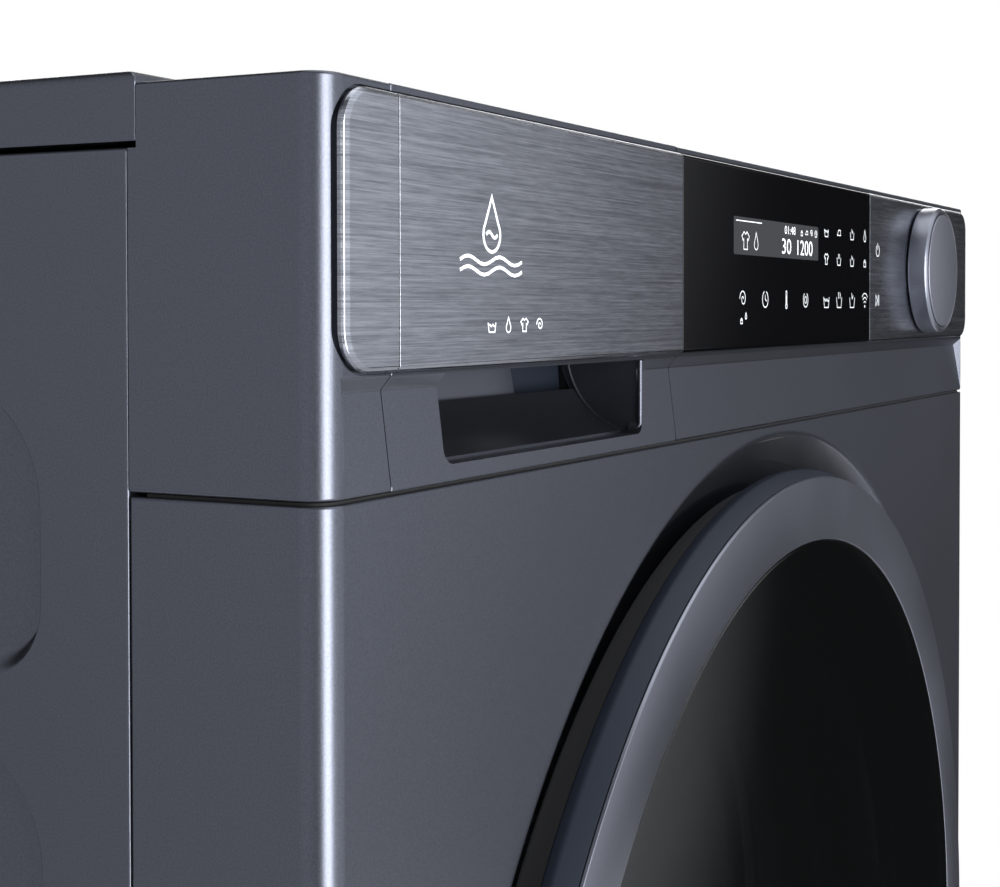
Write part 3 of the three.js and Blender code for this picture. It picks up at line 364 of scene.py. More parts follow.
# %% Camera
scene = bpy.context.scene
lens = bpy.data.cameras.new("viewpoint")
lens.lens, lens.sensor_width = 60.63, 36.0
lens.shift_x, lens.shift_y = -0.1064, -0.1021
lens.clip_start, lens.clip_end = 0.01, 100.0
camera = bpy.data.objects.new("viewpoint", lens)
camera.location = (-614.48 * MM, (FRONT - 220.24) * MM, (SEAM + 44.77) * MM)
camera.rotation_euler = (math.radians(88.879), 0.0, math.radians(-64.49))
scene.collection.objects.link(camera)
scene.camera = camera
scene.view_settings.view_transform = "Standard"
scene.view_settings.look = "None"
print("camera", tuple(round(c, 3) for c in camera.location))

# %% [markdown]
# ## Painted steel
# The cabinet is pressed steel with a graphite powder coat. Powder melts into a skin with a fine
# orange peel and tiny metal flakes, so it looks even from afar and speckled close by. Two noises
# give that: one at half a millimetre moves colour and relief, a broad one moves the roughness.

# %% Graphite paint
def graphite_paint():
    made = Finish("graphite paint", tone(84, 87, 96), 0.36, 0.93)
    grain = made.noise(1900, detail=3.0, rough=0.7)
    cloud = made.noise(9, detail=2.0)
    made.tint(1.6 * grain - 0.3, tone(73, 76, 84), tone(95, 98, 107))
    made.feed("Roughness", 0.26 + 0.06 * cloud + 0.05 * grain)
    made.bump(grain, 0.03, 0.4)
    return made.material


# %% [markdown]
# ## Brushed plates
# The fascia is thin aluminium, brushed along its length. Each bristle leaves a scratch a fraction
# of a millimetre high and some centimetres long. Noise that is stretched a hundred times along x
# draws just that, at two lengths, and the same wire moves colour, roughness and relief.

# %% Brushed metal
def brushed_metal(name, dark, light, rough=0.2):
    made = Finish(name, light, rough, 1.0)
    long = made.noise(1, detail=4.0, stretch=(16, 16, 2400), rough=0.75)
    short = made.noise(1, detail=3.0, stretch=(80, 80, 1500), rough=0.7)
    scratch = 0.6 * long + 0.4 * short
    made.tint(4.4 * scratch - 1.7, dark, light)
    made.feed("Roughness", rough - 0.05 + 0.16 * scratch)
    made.bump(scratch, 0.02, 0.5)
    return made.material


# %% [markdown]
# ## Turned and moulded finishes
# The door ring and the knob are anodised gunmetal: blasted, so their grain has no direction. The
# door frames and the base are moulded plastic with a spark eroded skin, which a small noise in
# the relief stands for. `moulded` makes them all from a colour, a roughness and a grain size.

# %% Plain finishes
def moulded(name, colour, rough, metal=0.0, grain=900, depth=0.03, spread=0.12, **constants):
    made = Finish(name, colour, rough, metal, **constants)
    skin = made.noise(grain, detail=3.0, rough=0.65)
    cloud = made.noise(14, detail=2.0)
    dark = tuple(c * (1 - spread) for c in colour)
    light = tuple(c * (1 + spread) for c in colour)
    made.tint(1.6 * skin + 0.4 * cloud - 0.5, dark, light)
    made.feed("Roughness", rough - 0.05 + 0.1 * cloud)
    made.bump(skin, depth, 0.5)
    return made.material


# %% Metals with a direction
def rolled(name, colour, rough, stretch, spread=0.15):
    """Sheet or bar with drawing marks along one axis, and the flowers of zinc or steel."""
    made = Finish(name, colour, rough, 0.9)
    marks = made.noise(1, detail=3.0, stretch=stretch, rough=0.7)
    flowers = made.node("ShaderNodeTexVoronoi", {}, {"Vector": made.place(), "Scale": 55.0}, out=1)
    spangle = made.node("ShaderNodeSeparateColor", {}, {"Color": flowers})
    mix = 0.65 * marks + 0.35 * spangle
    dark = tuple(c * (1 - 2 * spread) for c in colour)
    light = tuple(c * (1 + spread) for c in colour)
    made.tint(mix, dark, light)
    made.feed("Roughness", rough - 0.08 + 0.2 * mix)
    made.bump(marks, 0.02, 0.4)
    return made.material


# %% [markdown]
# ## Glass, concrete and lit symbols
# The window is a smoked disc: almost black, glossy, and clear enough for the drum to show when a
# lamp is behind it. The bowl behind it is clear glass with the faint waves of pressing. Concrete
# has grains of sand and air holes, and the holes are also painted darker, as painted shade in
# them. Symbols on the display are lit from behind through the glass, so they emit, a little
# unevenly, as printed diffusers do.

# %% Glass and concrete
def gloss(name, colour, rough, alpha=1.0, **constants):
    made = Finish(name, colour, rough, 0.0, Alpha=alpha, **constants)
    wave = made.noise(6, detail=1.0)
    made.feed("Roughness", rough + 0.03 * wave)
    made.bump(wave, 0.04, 0.15)
    return made.material


def sandy(name, colour):
    made = Finish(name, colour, 0.9)
    sand = made.noise(600, detail=4.0, rough=0.7)
    stones = made.node("ShaderNodeTexVoronoi", {}, {"Vector": made.place(), "Scale": 140.0})
    holes = made.node("ShaderNodeMath", {"operation": "LESS_THAN"}, {0: stones, 1: 0.16})
    # Painted shade: the air holes are darkened in the colour as if shade fell into them; the bump gives their
    # relief.
    made.tint(sand - 0.5 * holes, tuple(c * 0.45 for c in colour), tuple(c * 1.3 for c in colour))
    made.bump(sand - holes, 0.6, 0.8)
    return made.material


def lit(name, colour, strength):
    made = Finish(name, colour, 0.4, Emission_Strength=strength)
    wave = made.noise(240, detail=1.0)
    mixed = made.node(
        "ShaderNodeMix",
        {"data_type": "RGBA"},
        {0: wave, 6: (*(c * 0.85 for c in colour), 1.0), 7: (*colour, 1.0)},
        out=2,
    )
    made.feed("Emission Color", mixed)
    return made.material


# %% The finishes of this machine
PAINT = graphite_paint()
BRUSHED = brushed_metal("brushed plate", tone(112, 115, 122), tone(158, 161, 169))
CAP_METAL = moulded("blasted cap", tone(122, 124, 133), 0.4, 0.96, 1600, 0.01, 0.06)
GUNMETAL = moulded("gunmetal", tone(124, 127, 137), 0.3, 0.96, 1600, 0.01, 0.06)
NAVY = moulded("navy plastic", tone(29, 34, 44), 0.5, 0.0, 1100, 0.02, Specular_IOR_Level=0.2)
CHARCOAL = moulded("charcoal plastic", tone(72, 71, 70), 0.6, 0.0, 1000, 0.03, Specular_IOR_Level=0.25)
BLACK = moulded("black plastic", tone(26, 27, 29), 0.6, 0.0, 900, 0.04)
WHITE = moulded("white plastic", tone(226, 228, 228), 0.42, 0.0, 900, 0.02, 0.04)
TUB_GREY = moulded("tub plastic", tone(150, 155, 158), 0.6, 0.0, 500, 0.06, 0.1)
RUBBER = moulded("gasket rubber", tone(92, 95, 97), 0.72, 0.0, 700, 0.05, 0.15)
BELT = moulded("black rubber", tone(20, 20, 21), 0.8, 0.0, 700, 0.06, 0.2)
BOARD = moulded("circuit board", tone(24, 84, 48), 0.45, 0.0, 300, 0.05, 0.3)
CAST = moulded("cast alloy", tone(158, 160, 163), 0.5, 0.85, 420, 0.15, 0.14)
STEEL = rolled("drum steel", tone(196, 198, 202), 0.26, (900, 20, 900))
ZINC = rolled("zinc steel", tone(150, 153, 157), 0.42, (30, 30, 700))
CONCRETE = sandy("concrete", tone(146, 143, 136))
DISPLAY = gloss("display glass", tone(5, 5, 6), 0.07)
SMOKED = gloss("smoked window", tone(7, 8, 8), 0.05, alpha=0.82)
BOWL = gloss("bowl glass", tone(226, 232, 233), 0.02, Transmission_Weight=0.92, IOR=1.5)
SYMBOL = lit("lit symbol", tone(208, 211, 214), 0.45)
SCREEN = lit("screen backlight", tone(24, 25, 28), 0.3)
INK = moulded("white ink", tone(222, 226, 230), 0.5, 0.0, 900, 0.005, 0.03)
print("finishes", len(bpy.data.materials))

# %% [markdown]
# ## Worktop
# The lid is one pressed tray with a rounded rim. It sits a little above the control panel, with a
# dark shadow line under it. Seen from below it is hollow, with ribs, so four bays are carved out.

# %% Worktop
LID_LOW, LID_FRONT = HEIGHT - 16.8, reach("worktop")[0].y - FRONT
LID_ROUND, LID_SIDE_ROUND = 3, 1.5  # the rim's radius along the front, and along the other edges
LID_WALL, LID_RIB, LID_SKIN = 8, 4, 2.4  # the hollow underside
skin = []
for turn in (None, 0, 18, 36, 54, 72, 90):
    lean = 1 - math.cos(math.radians(turn or 0))
    rise = LID_ROUND * math.sin(math.radians(turn or 0)) - LID_ROUND
    side = SIDE - LID_SIDE_ROUND * lean
    near, far = LID_FRONT + LID_ROUND * lean, BACK - LID_SIDE_ROUND * lean
    plan = round_rect(-side, side, near, far, [0.5, 0.5, 4.5, 4.5])
    skin.append(lay(plan, "Z", LID_LOW if turn is None else HEIGHT + rise))
lid = loft("worktop", skin)
bay = (2 * (SIDE - LID_WALL) - 3 * LID_RIB) / 4
for k in range(4):
    left = -SIDE + LID_WALL + k * (bay + LID_RIB)
    near, far = LID_FRONT + LID_WALL, BACK - LID_WALL
    carve(lid, block("bay", left, left + bay, near, far, LID_LOW - 5, HEIGHT - LID_SKIN))
settle(level(shade(lid, 40)), "cabinet", PAINT, "graphite_paint", "worktop")

# %% [markdown]
# ## Side panels
# Each side is a sheet folded at all four edges, with a column of shallow pressed pads that stop
# it from drumming. A press can't make a sharp wall: each pad's wall is a soft slope, and its
# bottom is a long ramp. So the cutter is a loft whose outline shrinks with depth along a smooth
# curve. The same loft, a sheet thicker, is welded on first, so the pad stands out inside.

# %% Pads
SHEET = 1.5
PAD_DEEP, PAD_WALL, PAD_RAMP = 2.5, 1.5, 8  # depth, then the run of its wall and of its lower ramp
PAD_MARGIN, PAD_TALL, PAD_PITCH = 29.3, 65.5, 90
PAD_ABOVE_SEAM = 25  # the top pad's upper edge
SIDE_FRONT, SIDE_BACK = (corner.y - FRONT for corner in reach("side_panel_right"))
SIDE_LOW, SIDE_TOP = (corner.z for corner in reach("side_panel_right"))


def pad(name, sign, top, extra):
    """A pressed pad as a solid, seen from outside the sheet."""
    rings = []
    for step in range(-1, 9):
        t = max(step, 0) / 8
        depth = PAD_DEEP * (t * t * (3 - 2 * t)) + (extra if step >= 0 else 0)
        wall, ramp = PAD_WALL * (1 - t) + extra, PAD_RAMP * (1 - t) + extra
        outline = round_rect(
            SIDE_FRONT + PAD_MARGIN - wall,
            SIDE_BACK - PAD_MARGIN + wall,
            top - PAD_TALL - ramp,
            top + wall,
            [12 + ramp, 12 + ramp, 30 + wall, 30 + wall],
            10,
        )
        inset = depth if step >= 0 else (-1 if not extra else 0.4)
        rings.append([(sign * (SIDE - inset), u, v) for u, v in outline])
    return loft(name, rings)


# %% Side panels
def side_panel(name, sign):
    def shell(label, inset, depth):
        x0, x1 = sorted([sign * (SIDE - inset), sign * (SIDE - depth)])
        y0, y1 = SIDE_FRONT + inset, SIDE_BACK - inset
        return block(label, x0, x1, y0, y1, SIDE_LOW + inset, SIDE_TOP - inset)

    sheet = carve(shell(name, 0, 14), shell("inside", SHEET, 16))
    x0, x1 = sorted([sign * (SIDE - 1), sign * 246])
    weld(sheet, block("hanger", x0, x1, 396, 424, SIDE_TOP - 22, SIDE_TOP - 18))
    tops = [SEAM + PAD_ABOVE_SEAM - PAD_PITCH * k for k in range(8)]
    for top in tops:
        weld(sheet, pad("pad", sign, top, SHEET))
    for top in tops:
        carve(sheet, pad("pad", sign, top, 0))
    return settle(soften(sheet, 0.8, 3, 40), "cabinet", PAINT, "graphite_paint", name)


for name, sign in (("side_panel_left", -1), ("side_panel_right", 1)):
    side_panel(name, sign)

# %% [markdown]
# ## Door panel and its dish
# The front sheet wraps round both corners. Its middle is drawn into a dish that the door sits in.
# The dish is turned from a profile with a soft lip, a steep wall and a flat floor, and welded into
# a round hole of the sheet. The two share one finish, so the join can't be seen.

# %% Wrapped front pieces
WRAP, CORNER = 56.6, 7.5


def wrap(inset, back, front=0):
    """The outline of a piece that wraps round both front corners, seen from above."""
    bend = CORNER - inset
    return round_rect(-SIDE + inset, SIDE - inset, front + inset, back, [bend, bend, 0, 0], 14)


def wrapped(name, z0, z1, wall, front=0):
    skin = prism(name, wrap(0, WRAP, front), "Z", z0, z1)
    return carve(skin, prism("hollow", wrap(wall, WRAP + 2, front), "Z", z0 - 2, z1 + 2))


# %% Front panel
PLINTH_TOP = reach("plinth")[1].z
DISH_FACE = [(DISH + 3.4, 0), (DISH + 0.6, 0), (DISH - 4.4, 6), (DISH - 10.4, 13.5), (DISH - 20.4, 19.5)]
DISH_FACE += [(DISH - 45.4, 24), (MOUTH + 1.2, 26), (MOUTH, 27.2)]
DISH_REAR = [(MOUTH, 27.5), (DISH - 45, 25.5), (DISH - 20, 21.5), (DISH - 9, 15), (DISH - 2.7, 6.6)]
DISH_REAR += [(DISH + 0.4, SHEET), (DISH + 3.4, SHEET)]
curves = [0, 3, 4, 2.2, 8, 30, 1, 0] + [0] * 7
front = wrapped("front_panel", PLINTH_TOP + 0.6, SEAM - 0.3, SHEET)
carve(front, prism("opening", circle(0, AXIS, DISH + 3.3, 160), "Y", -2, SHEET + 2))
weld(front, revolve("dish", fillet(DISH_FACE + DISH_REAR, curves, 5)))
carve(front, block("latch slot", 217, 236, 10, 30, AXIS - 13, AXIS + 13))
settle(soften(front, 0.7, 3, 40), "cabinet", PAINT, "graphite_paint", "front_panel")

# %% [markdown]
# ## Lip behind the seam
# A dark rubber lip stands behind the line between the door panel and the control panel. It keeps
# water out, and it stops light from inside the cabinet from showing through the line. It follows
# the same outline as the sheet, set back by the sheet and a little air.

# %% Seam lip
LIP_SET_BACK, LIP_THICK = SHEET + 0.2, 1.2
lip = prism("seam_lip", wrap(LIP_SET_BACK, WRAP - 4), "Z", SEAM - 6, SEAM + 0.35)
carve(lip, prism("hollow", wrap(LIP_SET_BACK + LIP_THICK, WRAP - 2), "Z", SEAM - 8, SEAM + 2))
settle(shade(lip, 40), "cabinet", BELT, "black_rubber")

# %% [markdown]
# ## Plinth and lint trap flap
# The bottom strip hides the feet's frame. A small flap in it tips forward for the lint trap, and
# a finger dent in its top edge shows where to pull. Both are the same wrapped form, set back.

# %% Plinth and flap
flap_low, flap_high = reach("filter_flap")
skirt = wrapped("plinth", reach("plinth")[0].z, PLINTH_TOP, 2.5, 3)
gap = [flap_low.x - 0.5, flap_high.x + 0.5, 1, 8, flap_low.z - 1, flap_high.z + 0.5]
carve(skirt, block("flap opening", *gap))
settle(soften(skirt, 0.6, 2, 40), "cabinet", PAINT, "graphite_paint", "plinth")
middle = (flap_low.x + flap_high.x) / 2
outline = round_rect(flap_low.x, flap_high.x, flap_low.z, flap_high.z, 2, 4)
flap = prism("filter_flap", outline, "Y", 3, 5.5)
dent = fillet([(middle - 16, flap_high.z + 2), (middle - 13, flap_high.z - 6),
               (middle + 13, flap_high.z - 6), (middle + 16, flap_high.z + 2)], 3)
carve(flap, prism("dent", dent, "Y", 1, 4.2))
settle(soften(flap, 0.5), "flap", PAINT, "graphite_paint", "filter_flap")

# %% [markdown]
# ## Control panel
# One deep moulding wraps the top of the front. A shallow scoop under the fascia gives the drawer
# its grip line: its upper face leans in and its lower face leans out, and both ends are closed.
# The drawer's place, the deck under the worktop and the knob's shaft hole are carved away. The
# rounded rims are in the loft itself, since a bevel can't follow the many cuts of this moulding.

# %% Control panel
TOP = reach("control_panel")[1].z - SEAM
SCOOP = [(-2, 29.2), (0, 29.2), (0.1, 28.8), (0.4, 28.2), (2.75, 25.5), (3, 24.9), (2.9, 24.2), (0, 0.9),
         (-2, 0.9)]
ROUND = [math.radians(turn) for turn in (0, 22.5, 45, 67.5, 90)]
WALL, SCOOP_WALL = 2.5, 5.5  # the moulding's wall, and the depth of its inner face behind the scoop
SHELF = 31.7  # where the wall steps, above the seam
SEAM_GAP, JOINT, SHAFT = 0.6, 0.35, 3.5  # seam line, drawer joint, knob's shaft hole (a radius)


def at_seam(outline):
    """Heights above the seam, turned to heights above the floor."""
    return [(u, v + SEAM) for u, v in outline]


def scoop():
    """The grip line's cutter. Its ends slant out from the deep edge to the face."""
    shape = at_seam(SCOOP)
    ends = [-SIDE + 10.7 - (4.7 * (3 - max(y, 0)) / 3) for y, _ in shape]
    rings = [[(sign * x, y, z) for x, (y, z) in zip(ends, shape)] for sign in (1, -1)]
    return loft("scoop", rings)


def seam_block(name, x0, x1, y0, y1, z0, z1):
    return block(name, x0, x1, y0, y1, SEAM + z0, SEAM + z1)


PLATE = (SEAM + 29.7, SEAM + 96.3)  # the fascia's lower and upper edge
EDGE = SIDE - 4.4
PLATE_CORNER = 10.5


def groove():
    """The narrow channel round the fascia, which draws a dark line along its rim."""

    def ring(grow, y0, y1):
        low, high = PLATE[0] - grow, PLATE[1] + grow
        shape = round_rect(-EDGE - grow, EDGE + grow, low, high, PLATE_CORNER + grow, 12)
        return prism("groove", shape, "Y", y0, y1)

    return carve(ring(0.55, -1, 1.5), ring(-0.9, -2, 3))


def rims(low, high, radius):
    """Inset and height of each level of a body whose lower and upper rims are rounded."""
    levels = [(radius * (1 - math.sin(t)), low + radius * (1 - math.cos(t))) for t in ROUND]
    return levels + [(inset, high + low - z) for inset, z in levels[::-1]]


levels = [lay(wrap(inset, WRAP), "Z", z) for inset, z in rims(SEAM + SEAM_GAP, SEAM + TOP, 1.0)]
panel = loft("control_panel", levels)
left, right = DRAWER[0] - JOINT, DRAWER[1] + JOINT
carve(
    panel,
    seam_block("deck", -SIDE - 2, SIDE + 2, LID_FRONT - 0.3, 60, TOP - 15.6, TOP + 2),
    scoop(),
    groove(),
    seam_block("low hollow", -SIDE + WALL, SIDE - WALL, SCOOP_WALL, 60, SEAM_GAP + WALL, SHELF),
    seam_block("high hollow", -SIDE + WALL, SIDE - WALL, WALL, 60, SHELF - 1, TOP - WALL),
    seam_block("drawer front", left, right, -2, 22, -2, TOP + 2),
    seam_block("drawer way", left, right, 21, 60, SEAM_GAP + WALL, 90),
    prism("shaft", circle(*KNOB, SHAFT, 24), "Y", -2, 10),
)
settle(level(shade(panel, 25)), "cabinet", PAINT, "graphite_paint", "control_panel")

# %% [markdown]
# ## Drawer front and grip
# The detergent drawer is pulled by a quarter round trough behind a slot. Fingers curl up into it.
# The trough and its two cheeks are separate shapes welded to a hollow moulding, which is why the
# slot shows a bright curved edge where trough and cheek meet. The stepped wall behind them is a
# piece of its own.

# %% Drawer front
GRIP = (DRAWER[0] + 25.65, DRAWER[1] - 25.65)
POCKET = 28  # the trough's radius
POCKET_Y, POCKET_Z = 1, 33  # its centre, behind the front sheet and above the seam


def trough_arc(radius, low_turn=0.0, high_turn=1.0, steps=16):
    turns = [(low_turn + (high_turn - low_turn) * k / steps) * math.pi / 2 for k in range(steps + 1)]
    return [(POCKET_Y + radius * math.sin(t), POCKET_Z - radius * math.cos(t)) for t in turns]


def drawer_front():
    x0, x1 = DRAWER
    levels = [
        lay(round_rect(x0 + inset, x1 - inset, SEAM + SEAM_GAP + inset, SEAM + TOP - inset, 0.4, 4), "Y", y)
        for inset, y in rims(0, 21.7, 0.6)
    ]
    shell = loft("drawer_front", levels)
    carve(
        shell,
        scoop(),
        groove(),
        seam_block("low hollow", x0 + WALL, x1 - WALL, SCOOP_WALL, 24, SEAM_GAP + WALL, SHELF),
        seam_block("high hollow", x0 + WALL, x1 - WALL, WALL, 24, SHELF - 1, TOP - WALL),
    )
    trough = trough_arc(POCKET + 1.6, 0, 0.66) + trough_arc(POCKET, 0, 0.66)[::-1]
    cheek = trough_arc(POCKET + 1.6) + [(SCOOP_WALL, POCKET_Z), (SCOOP_WALL, 5)]
    for label, outline, a, b in (
        ("trough", trough, GRIP[0] - 2, GRIP[1] + 2),
        ("cheek", cheek, GRIP[0] - 2, GRIP[0]),
        ("cheek", cheek, GRIP[1], GRIP[1] + 2),
    ):
        solid = prism(label, at_seam(outline), "X", a, b)
        carve(solid, seam_block("in front", x0, x1, -5, 4.5, -5, 60))
        weld(shell, solid)
    slot = round_rect(*GRIP, SEAM + 5, SEAM + 28.5, [4, 4, 0, 0], 6)
    return carve(shell, prism("slot", slot, "Y", -2, 7.5))


settle(level(shade(drawer_front(), 25)), "drawer", PAINT, "graphite_paint", "drawer_front")
print("grip", GRIP)

# %% Wall behind the grip
wall = fillet([(GRIP[0] - 2, 17), (-160, 17), (-163, 27), (-169, 34), (GRIP[0] - 2, 34)], [0, 0, 8, 0, 0])
back = prism("grip_back", at_seam(wall), "Y", 27.5, 30)
settle(soften(back, 0.5), "drawer", PAINT, "graphite_paint")

# %% [markdown]
# ## Bead and shade of the grip
# The moulding's edge is a little thicker where the trough meets its right cheek. So a round bead
# runs down the slot's edge and on round the cheek: a small circle is carried along the path, and
# one loft joins the circles. A dark plate closes the trough behind the stepped wall.

# %% Grip's bead
BEAD_Y = 1.6  # how far behind the front sheet the straight part runs
straight = [(GRIP[1], BEAD_Y, z) for z in (28.2, 22, 15, 8)]
bends = [math.radians(turn) for turn in range(4, 88, 6)]
curve = [(GRIP[1] - 0.2, BEAD_Y + 26.2 * math.sin(t), 31.8 - 26.6 * math.cos(t)) for t in bends]
path = [Vector((x, y, z + SEAM)) for x, y, z in straight + curve]
sideways = Vector((1, 0, 0))
rings = []
for k, spot in enumerate(path):
    way = path[min(k + 1, len(path) - 1)] - path[max(k - 1, 0)]
    up = way.normalized().cross(sideways)
    radius = 0.85 if k < len(straight) else 0.6
    rings.append([tuple(spot + radius * (sideways * c + up * s)) for c, s in circle(0, 0, 1, 12)])
settle(shade(loft("grip_edge", rings), 60), "drawer", PAINT, "graphite_paint")
dark = seam_block("grip_shade", GRIP[0] - 2, GRIP[1] + 2, 31.4, 33.2, 12, 34)
settle(soften(dark, 0.3), "drawer", NAVY, "navy_plastic")

# %% [markdown]
# ## Fascia
# Three brushed plates and a black glass stand proud of the panel as if they were one plate, with
# its outer corners rounded. Each is its own piece because the drawer takes one of them along. The
# rim of the whole is a narrow chamfer, and only its two outer ends slope in widely. A thin black
# strip stands in the joint beside the drawer as painted shade: its colour stands for the shade in
# the gap, where two bright metal edges would otherwise meet.

# %% Fascia plates
GLASS_RIGHT = reach("display_glass")[1].x


def chamfered(name, outer, inner):
    """A plate whose face is a smaller outline than its foot."""
    mid = [tuple(Vector(a).lerp(Vector(b), 0.3)) for a, b in zip(outer, inner)]
    rings = [lay(outer, "Y", -0.3), lay(outer, "Y", -1.2), lay(mid, "Y", -1.9), lay(inner, "Y", -2.5)]
    return loft(name, rings)


def fascia(name, x0, x1, rounds, finish, slot, body, *holes):
    radii = [PLATE_CORNER * r for r in (rounds[0], rounds[1], rounds[1], rounds[0])]
    outer = round_rect(x0, x1, *PLATE, radii, 12)
    face = (x0 + 2 * rounds[0], x1 - 2 * rounds[1], PLATE[0] + 1.3, PLATE[1] - 1.3)
    inner = round_rect(*face, [max(r - 1.5, 0) for r in radii], 12)
    plate = chamfered(name, outer, inner)
    carve(plate, *holes)
    return settle(soften(plate, 0.1, 1, 20), body, finish, slot, name)


fascia("fascia_end", -EDGE, DRAWER[0] - JOINT, (1, 0), BRUSHED, "brushed_plate", "cabinet")
fascia("fascia_drawer", DRAWER[0] + 0.15, DRAWER[1] - 0.15, (0, 0), BRUSHED, "brushed_plate", "drawer")
shaft = prism("shaft", circle(*KNOB, SHAFT, 24), "Y", -4, 2)
fascia("fascia_right", GLASS_RIGHT + 0.3, EDGE, (0, 1), BRUSHED, "brushed_plate", "cabinet", shaft)
fascia("display_glass", DRAWER[1] + JOINT, GLASS_RIGHT, (0, 0), DISPLAY, "display_glass", "cabinet")
# Painted shade: a black strip flush in the joint beside the drawer stands for the shade in the gap.
x = DRAWER[0] - 0.32
strip = block("joint_shade_strip", x, x + 0.42, -2.42, -0.35, PLATE[0] + 1.3, PLATE[1] - 1.3)
settle(shade(strip), "cabinet", BELT, "black_rubber")

# %% [markdown]
# ## Marks on the fascia
# Symbols are printed or lit, so they have almost no height: here each is a sheet of ink three
# hundredths of a millimetre proud. A symbol is a set of pen strokes. `stroke` turns a path into a
# ribbon with mitred corners, and `print_marks` gives a set of ribbons the ink's thickness.

# %% Pen strokes
FACE = -2.5  # the plates' face, before the front sheet
PROUD = 0.03
LINE, FINE_LINE, BOLD_LINE = 0.36, 0.38, 0.9  # pen widths: keys, small signs, drawer's badge


def arc(x, z, radius, start, end, steps=14):
    turns = [math.radians(start + (end - start) * k / steps) for k in range(steps + 1)]
    return [(x + radius * math.cos(t), z + radius * math.sin(t)) for t in turns]


def stroke(path, width):
    """Left and right rims of a ribbon along a path. A path that ends where it starts is closed."""
    ring = math.dist(path[0], path[-1]) < 1e-6
    spots = path[:-1] if ring else path
    rims = []
    for k, spot in enumerate(spots):
        before = spots[k - 1] if ring or k else spot
        after = spots[(k + 1) % len(spots)] if ring or k < len(spots) - 1 else spot
        a = (Vector(spot) - Vector(before)).normalized() if before != spot else None
        b = (Vector(after) - Vector(spot)).normalized() if after != spot else None
        a, b = a or b, b or a
        way = (a + b).normalized()
        across = Vector((-way.y, way.x)) * (width / 2 / max(way.dot(a), 0.5))
        rims.append((tuple(Vector(spot) + across), tuple(Vector(spot) - across)))
    return rims, ring


def print_marks(name, strokes, body, finish, slot):
    """Every stroke as a thin solid on the fascia's face."""
    points, faces = [], []
    for rims, ring in strokes:
        base = len(points)
        for rim_left, rim_right in rims:
            for depth in (FACE - PROUD, FACE + 0.1):
                points += [(rim_left[0], depth, rim_left[1]), (rim_right[0], depth, rim_right[1])]
        count = len(rims)
        for k in range(count if ring else count - 1):
            a, b = base + 4 * k, base + 4 * ((k + 1) % count)
            faces += [(a, a + 1, b + 1, b), (a + 2, b + 2, b + 3, a + 3)]
            faces += [(a, b, b + 2, a + 2), (a + 1, a + 3, b + 3, b + 1)]
        if not ring:
            last = base + 4 * (count - 1)
            faces += [(base, base + 2, base + 3, base + 1), (last, last + 1, last + 3, last + 2)]
    return settle(piece(name, points, faces), body, finish, slot)


# %% [markdown]
# ## Symbols
# The keys show plain laundry and appliance signs: basin, clock, thermometer, spin spiral, shirt,
# drop, steam, lock. Each is a set of paths in a unit square, placed by its centre and height. No
# words are used. Where a maker would put a name, the drawer has a plain drop over two waves and a
# row of four laundry signs.

# %% Symbols
def at(x, z, size, paths):
    """Paths in a unit square, moved and scaled; heights are above the seam."""
    return [[(x + size * u, SEAM + z + size * v) for u, v in path] for path in paths]


def wave(v, width=0.8, high=0.07, turns=2):
    steps = [k / 16 for k in range(17)]
    return [((t - 0.5) * width, v + high * math.sin(2 * math.pi * turns * t)) for t in steps]


BASIN = [(-0.5, 0.18), (-0.36, -0.42), (0.36, -0.42), (0.5, 0.18)]
SHIRT = [(-0.2, 0.42), (-0.5, 0.2), (-0.34, 0), (-0.24, 0.08), (-0.24, -0.42), (0.24, -0.42),
         (0.24, 0.08), (0.34, 0), (0.5, 0.2), (0.2, 0.42), (0, 0.3), (-0.2, 0.42)]
DROP = [(0, 0.5)] + arc(0, -0.16, 0.3, 40, -220, 18) + [(0, 0.5)]
SIGNS = {
    "spin": [[(r * math.cos(t), r * math.sin(t)) for r, t in
              [(0.04 + 0.42 * k / 30, 3 * math.pi * k / 30) for k in range(31)]]],
    "clock": [arc(0, 0, 0.42, 70, -250, 20), [(0, 0.24), (0, 0), (0.2, -0.1)]],
    "heat": [arc(0, -0.34, 0.14, 60, -240, 12), [(-0.07, -0.22), (-0.07, 0.45), (0.07, 0.45), (0.07, -0.22)],
             [(0, -0.34), (0, 0.2)]],
    "turn": [arc(0, 0, 0.4, 120, 420, 20), arc(0, 0, 0.18, 0, 360, 14)],
    "wash": [BASIN, wave(0.0)],
    "hand": [BASIN, [(-0.1, 0.45), (0.0, 0.1), (0.2, 0.3)]],
    "steam": [BASIN, [(-0.16, 0.1), (-0.08, 0.28), (-0.18, 0.48)], [(0.14, 0.1), (0.22, 0.28), (0.12, 0.48)]],
    "shirt": [SHIRT],
    "drop": [DROP],
    "iron": [[(-0.45, -0.2), (0.45, -0.2), (0.38, 0.22), (-0.1, 0.22), (-0.45, -0.2)]],
    "lock": [[(-0.28, 0), (-0.28, -0.4), (0.28, -0.4), (0.28, 0), (-0.28, 0)], arc(0, 0, 0.18, 0, 180, 10)],
    "radio": [arc(0, -0.35, 0.3, 45, 135, 8), arc(0, -0.35, 0.55, 45, 135, 8), arc(0, -0.35, 0.8, 45, 135, 8),
              arc(0, -0.35, 0.06, 0, 360, 8)],
    "power": [arc(0, -0.05, 0.4, 120, 420, 20), [(0, 0.5), (0, 0.0)]],
    "play": [[(-0.4, 0.4), (0.06, 0), (-0.4, -0.4), (-0.4, 0.4)], [(0.2, 0.4), (0.2, -0.4)],
             [(0.42, 0.4), (0.42, -0.4)]],
}
KEYS = [(52.7, 76.6, "wash"), (69.6, 76.6, "iron"), (88.1, 76.6, "hand"), (106.9, 76.6, "drop"),
        (52.7, 65.2, "shirt"), (69.6, 65.2, "steam"), (88.1, 65.2, "hand"), (106.9, 65.2, "lock")]
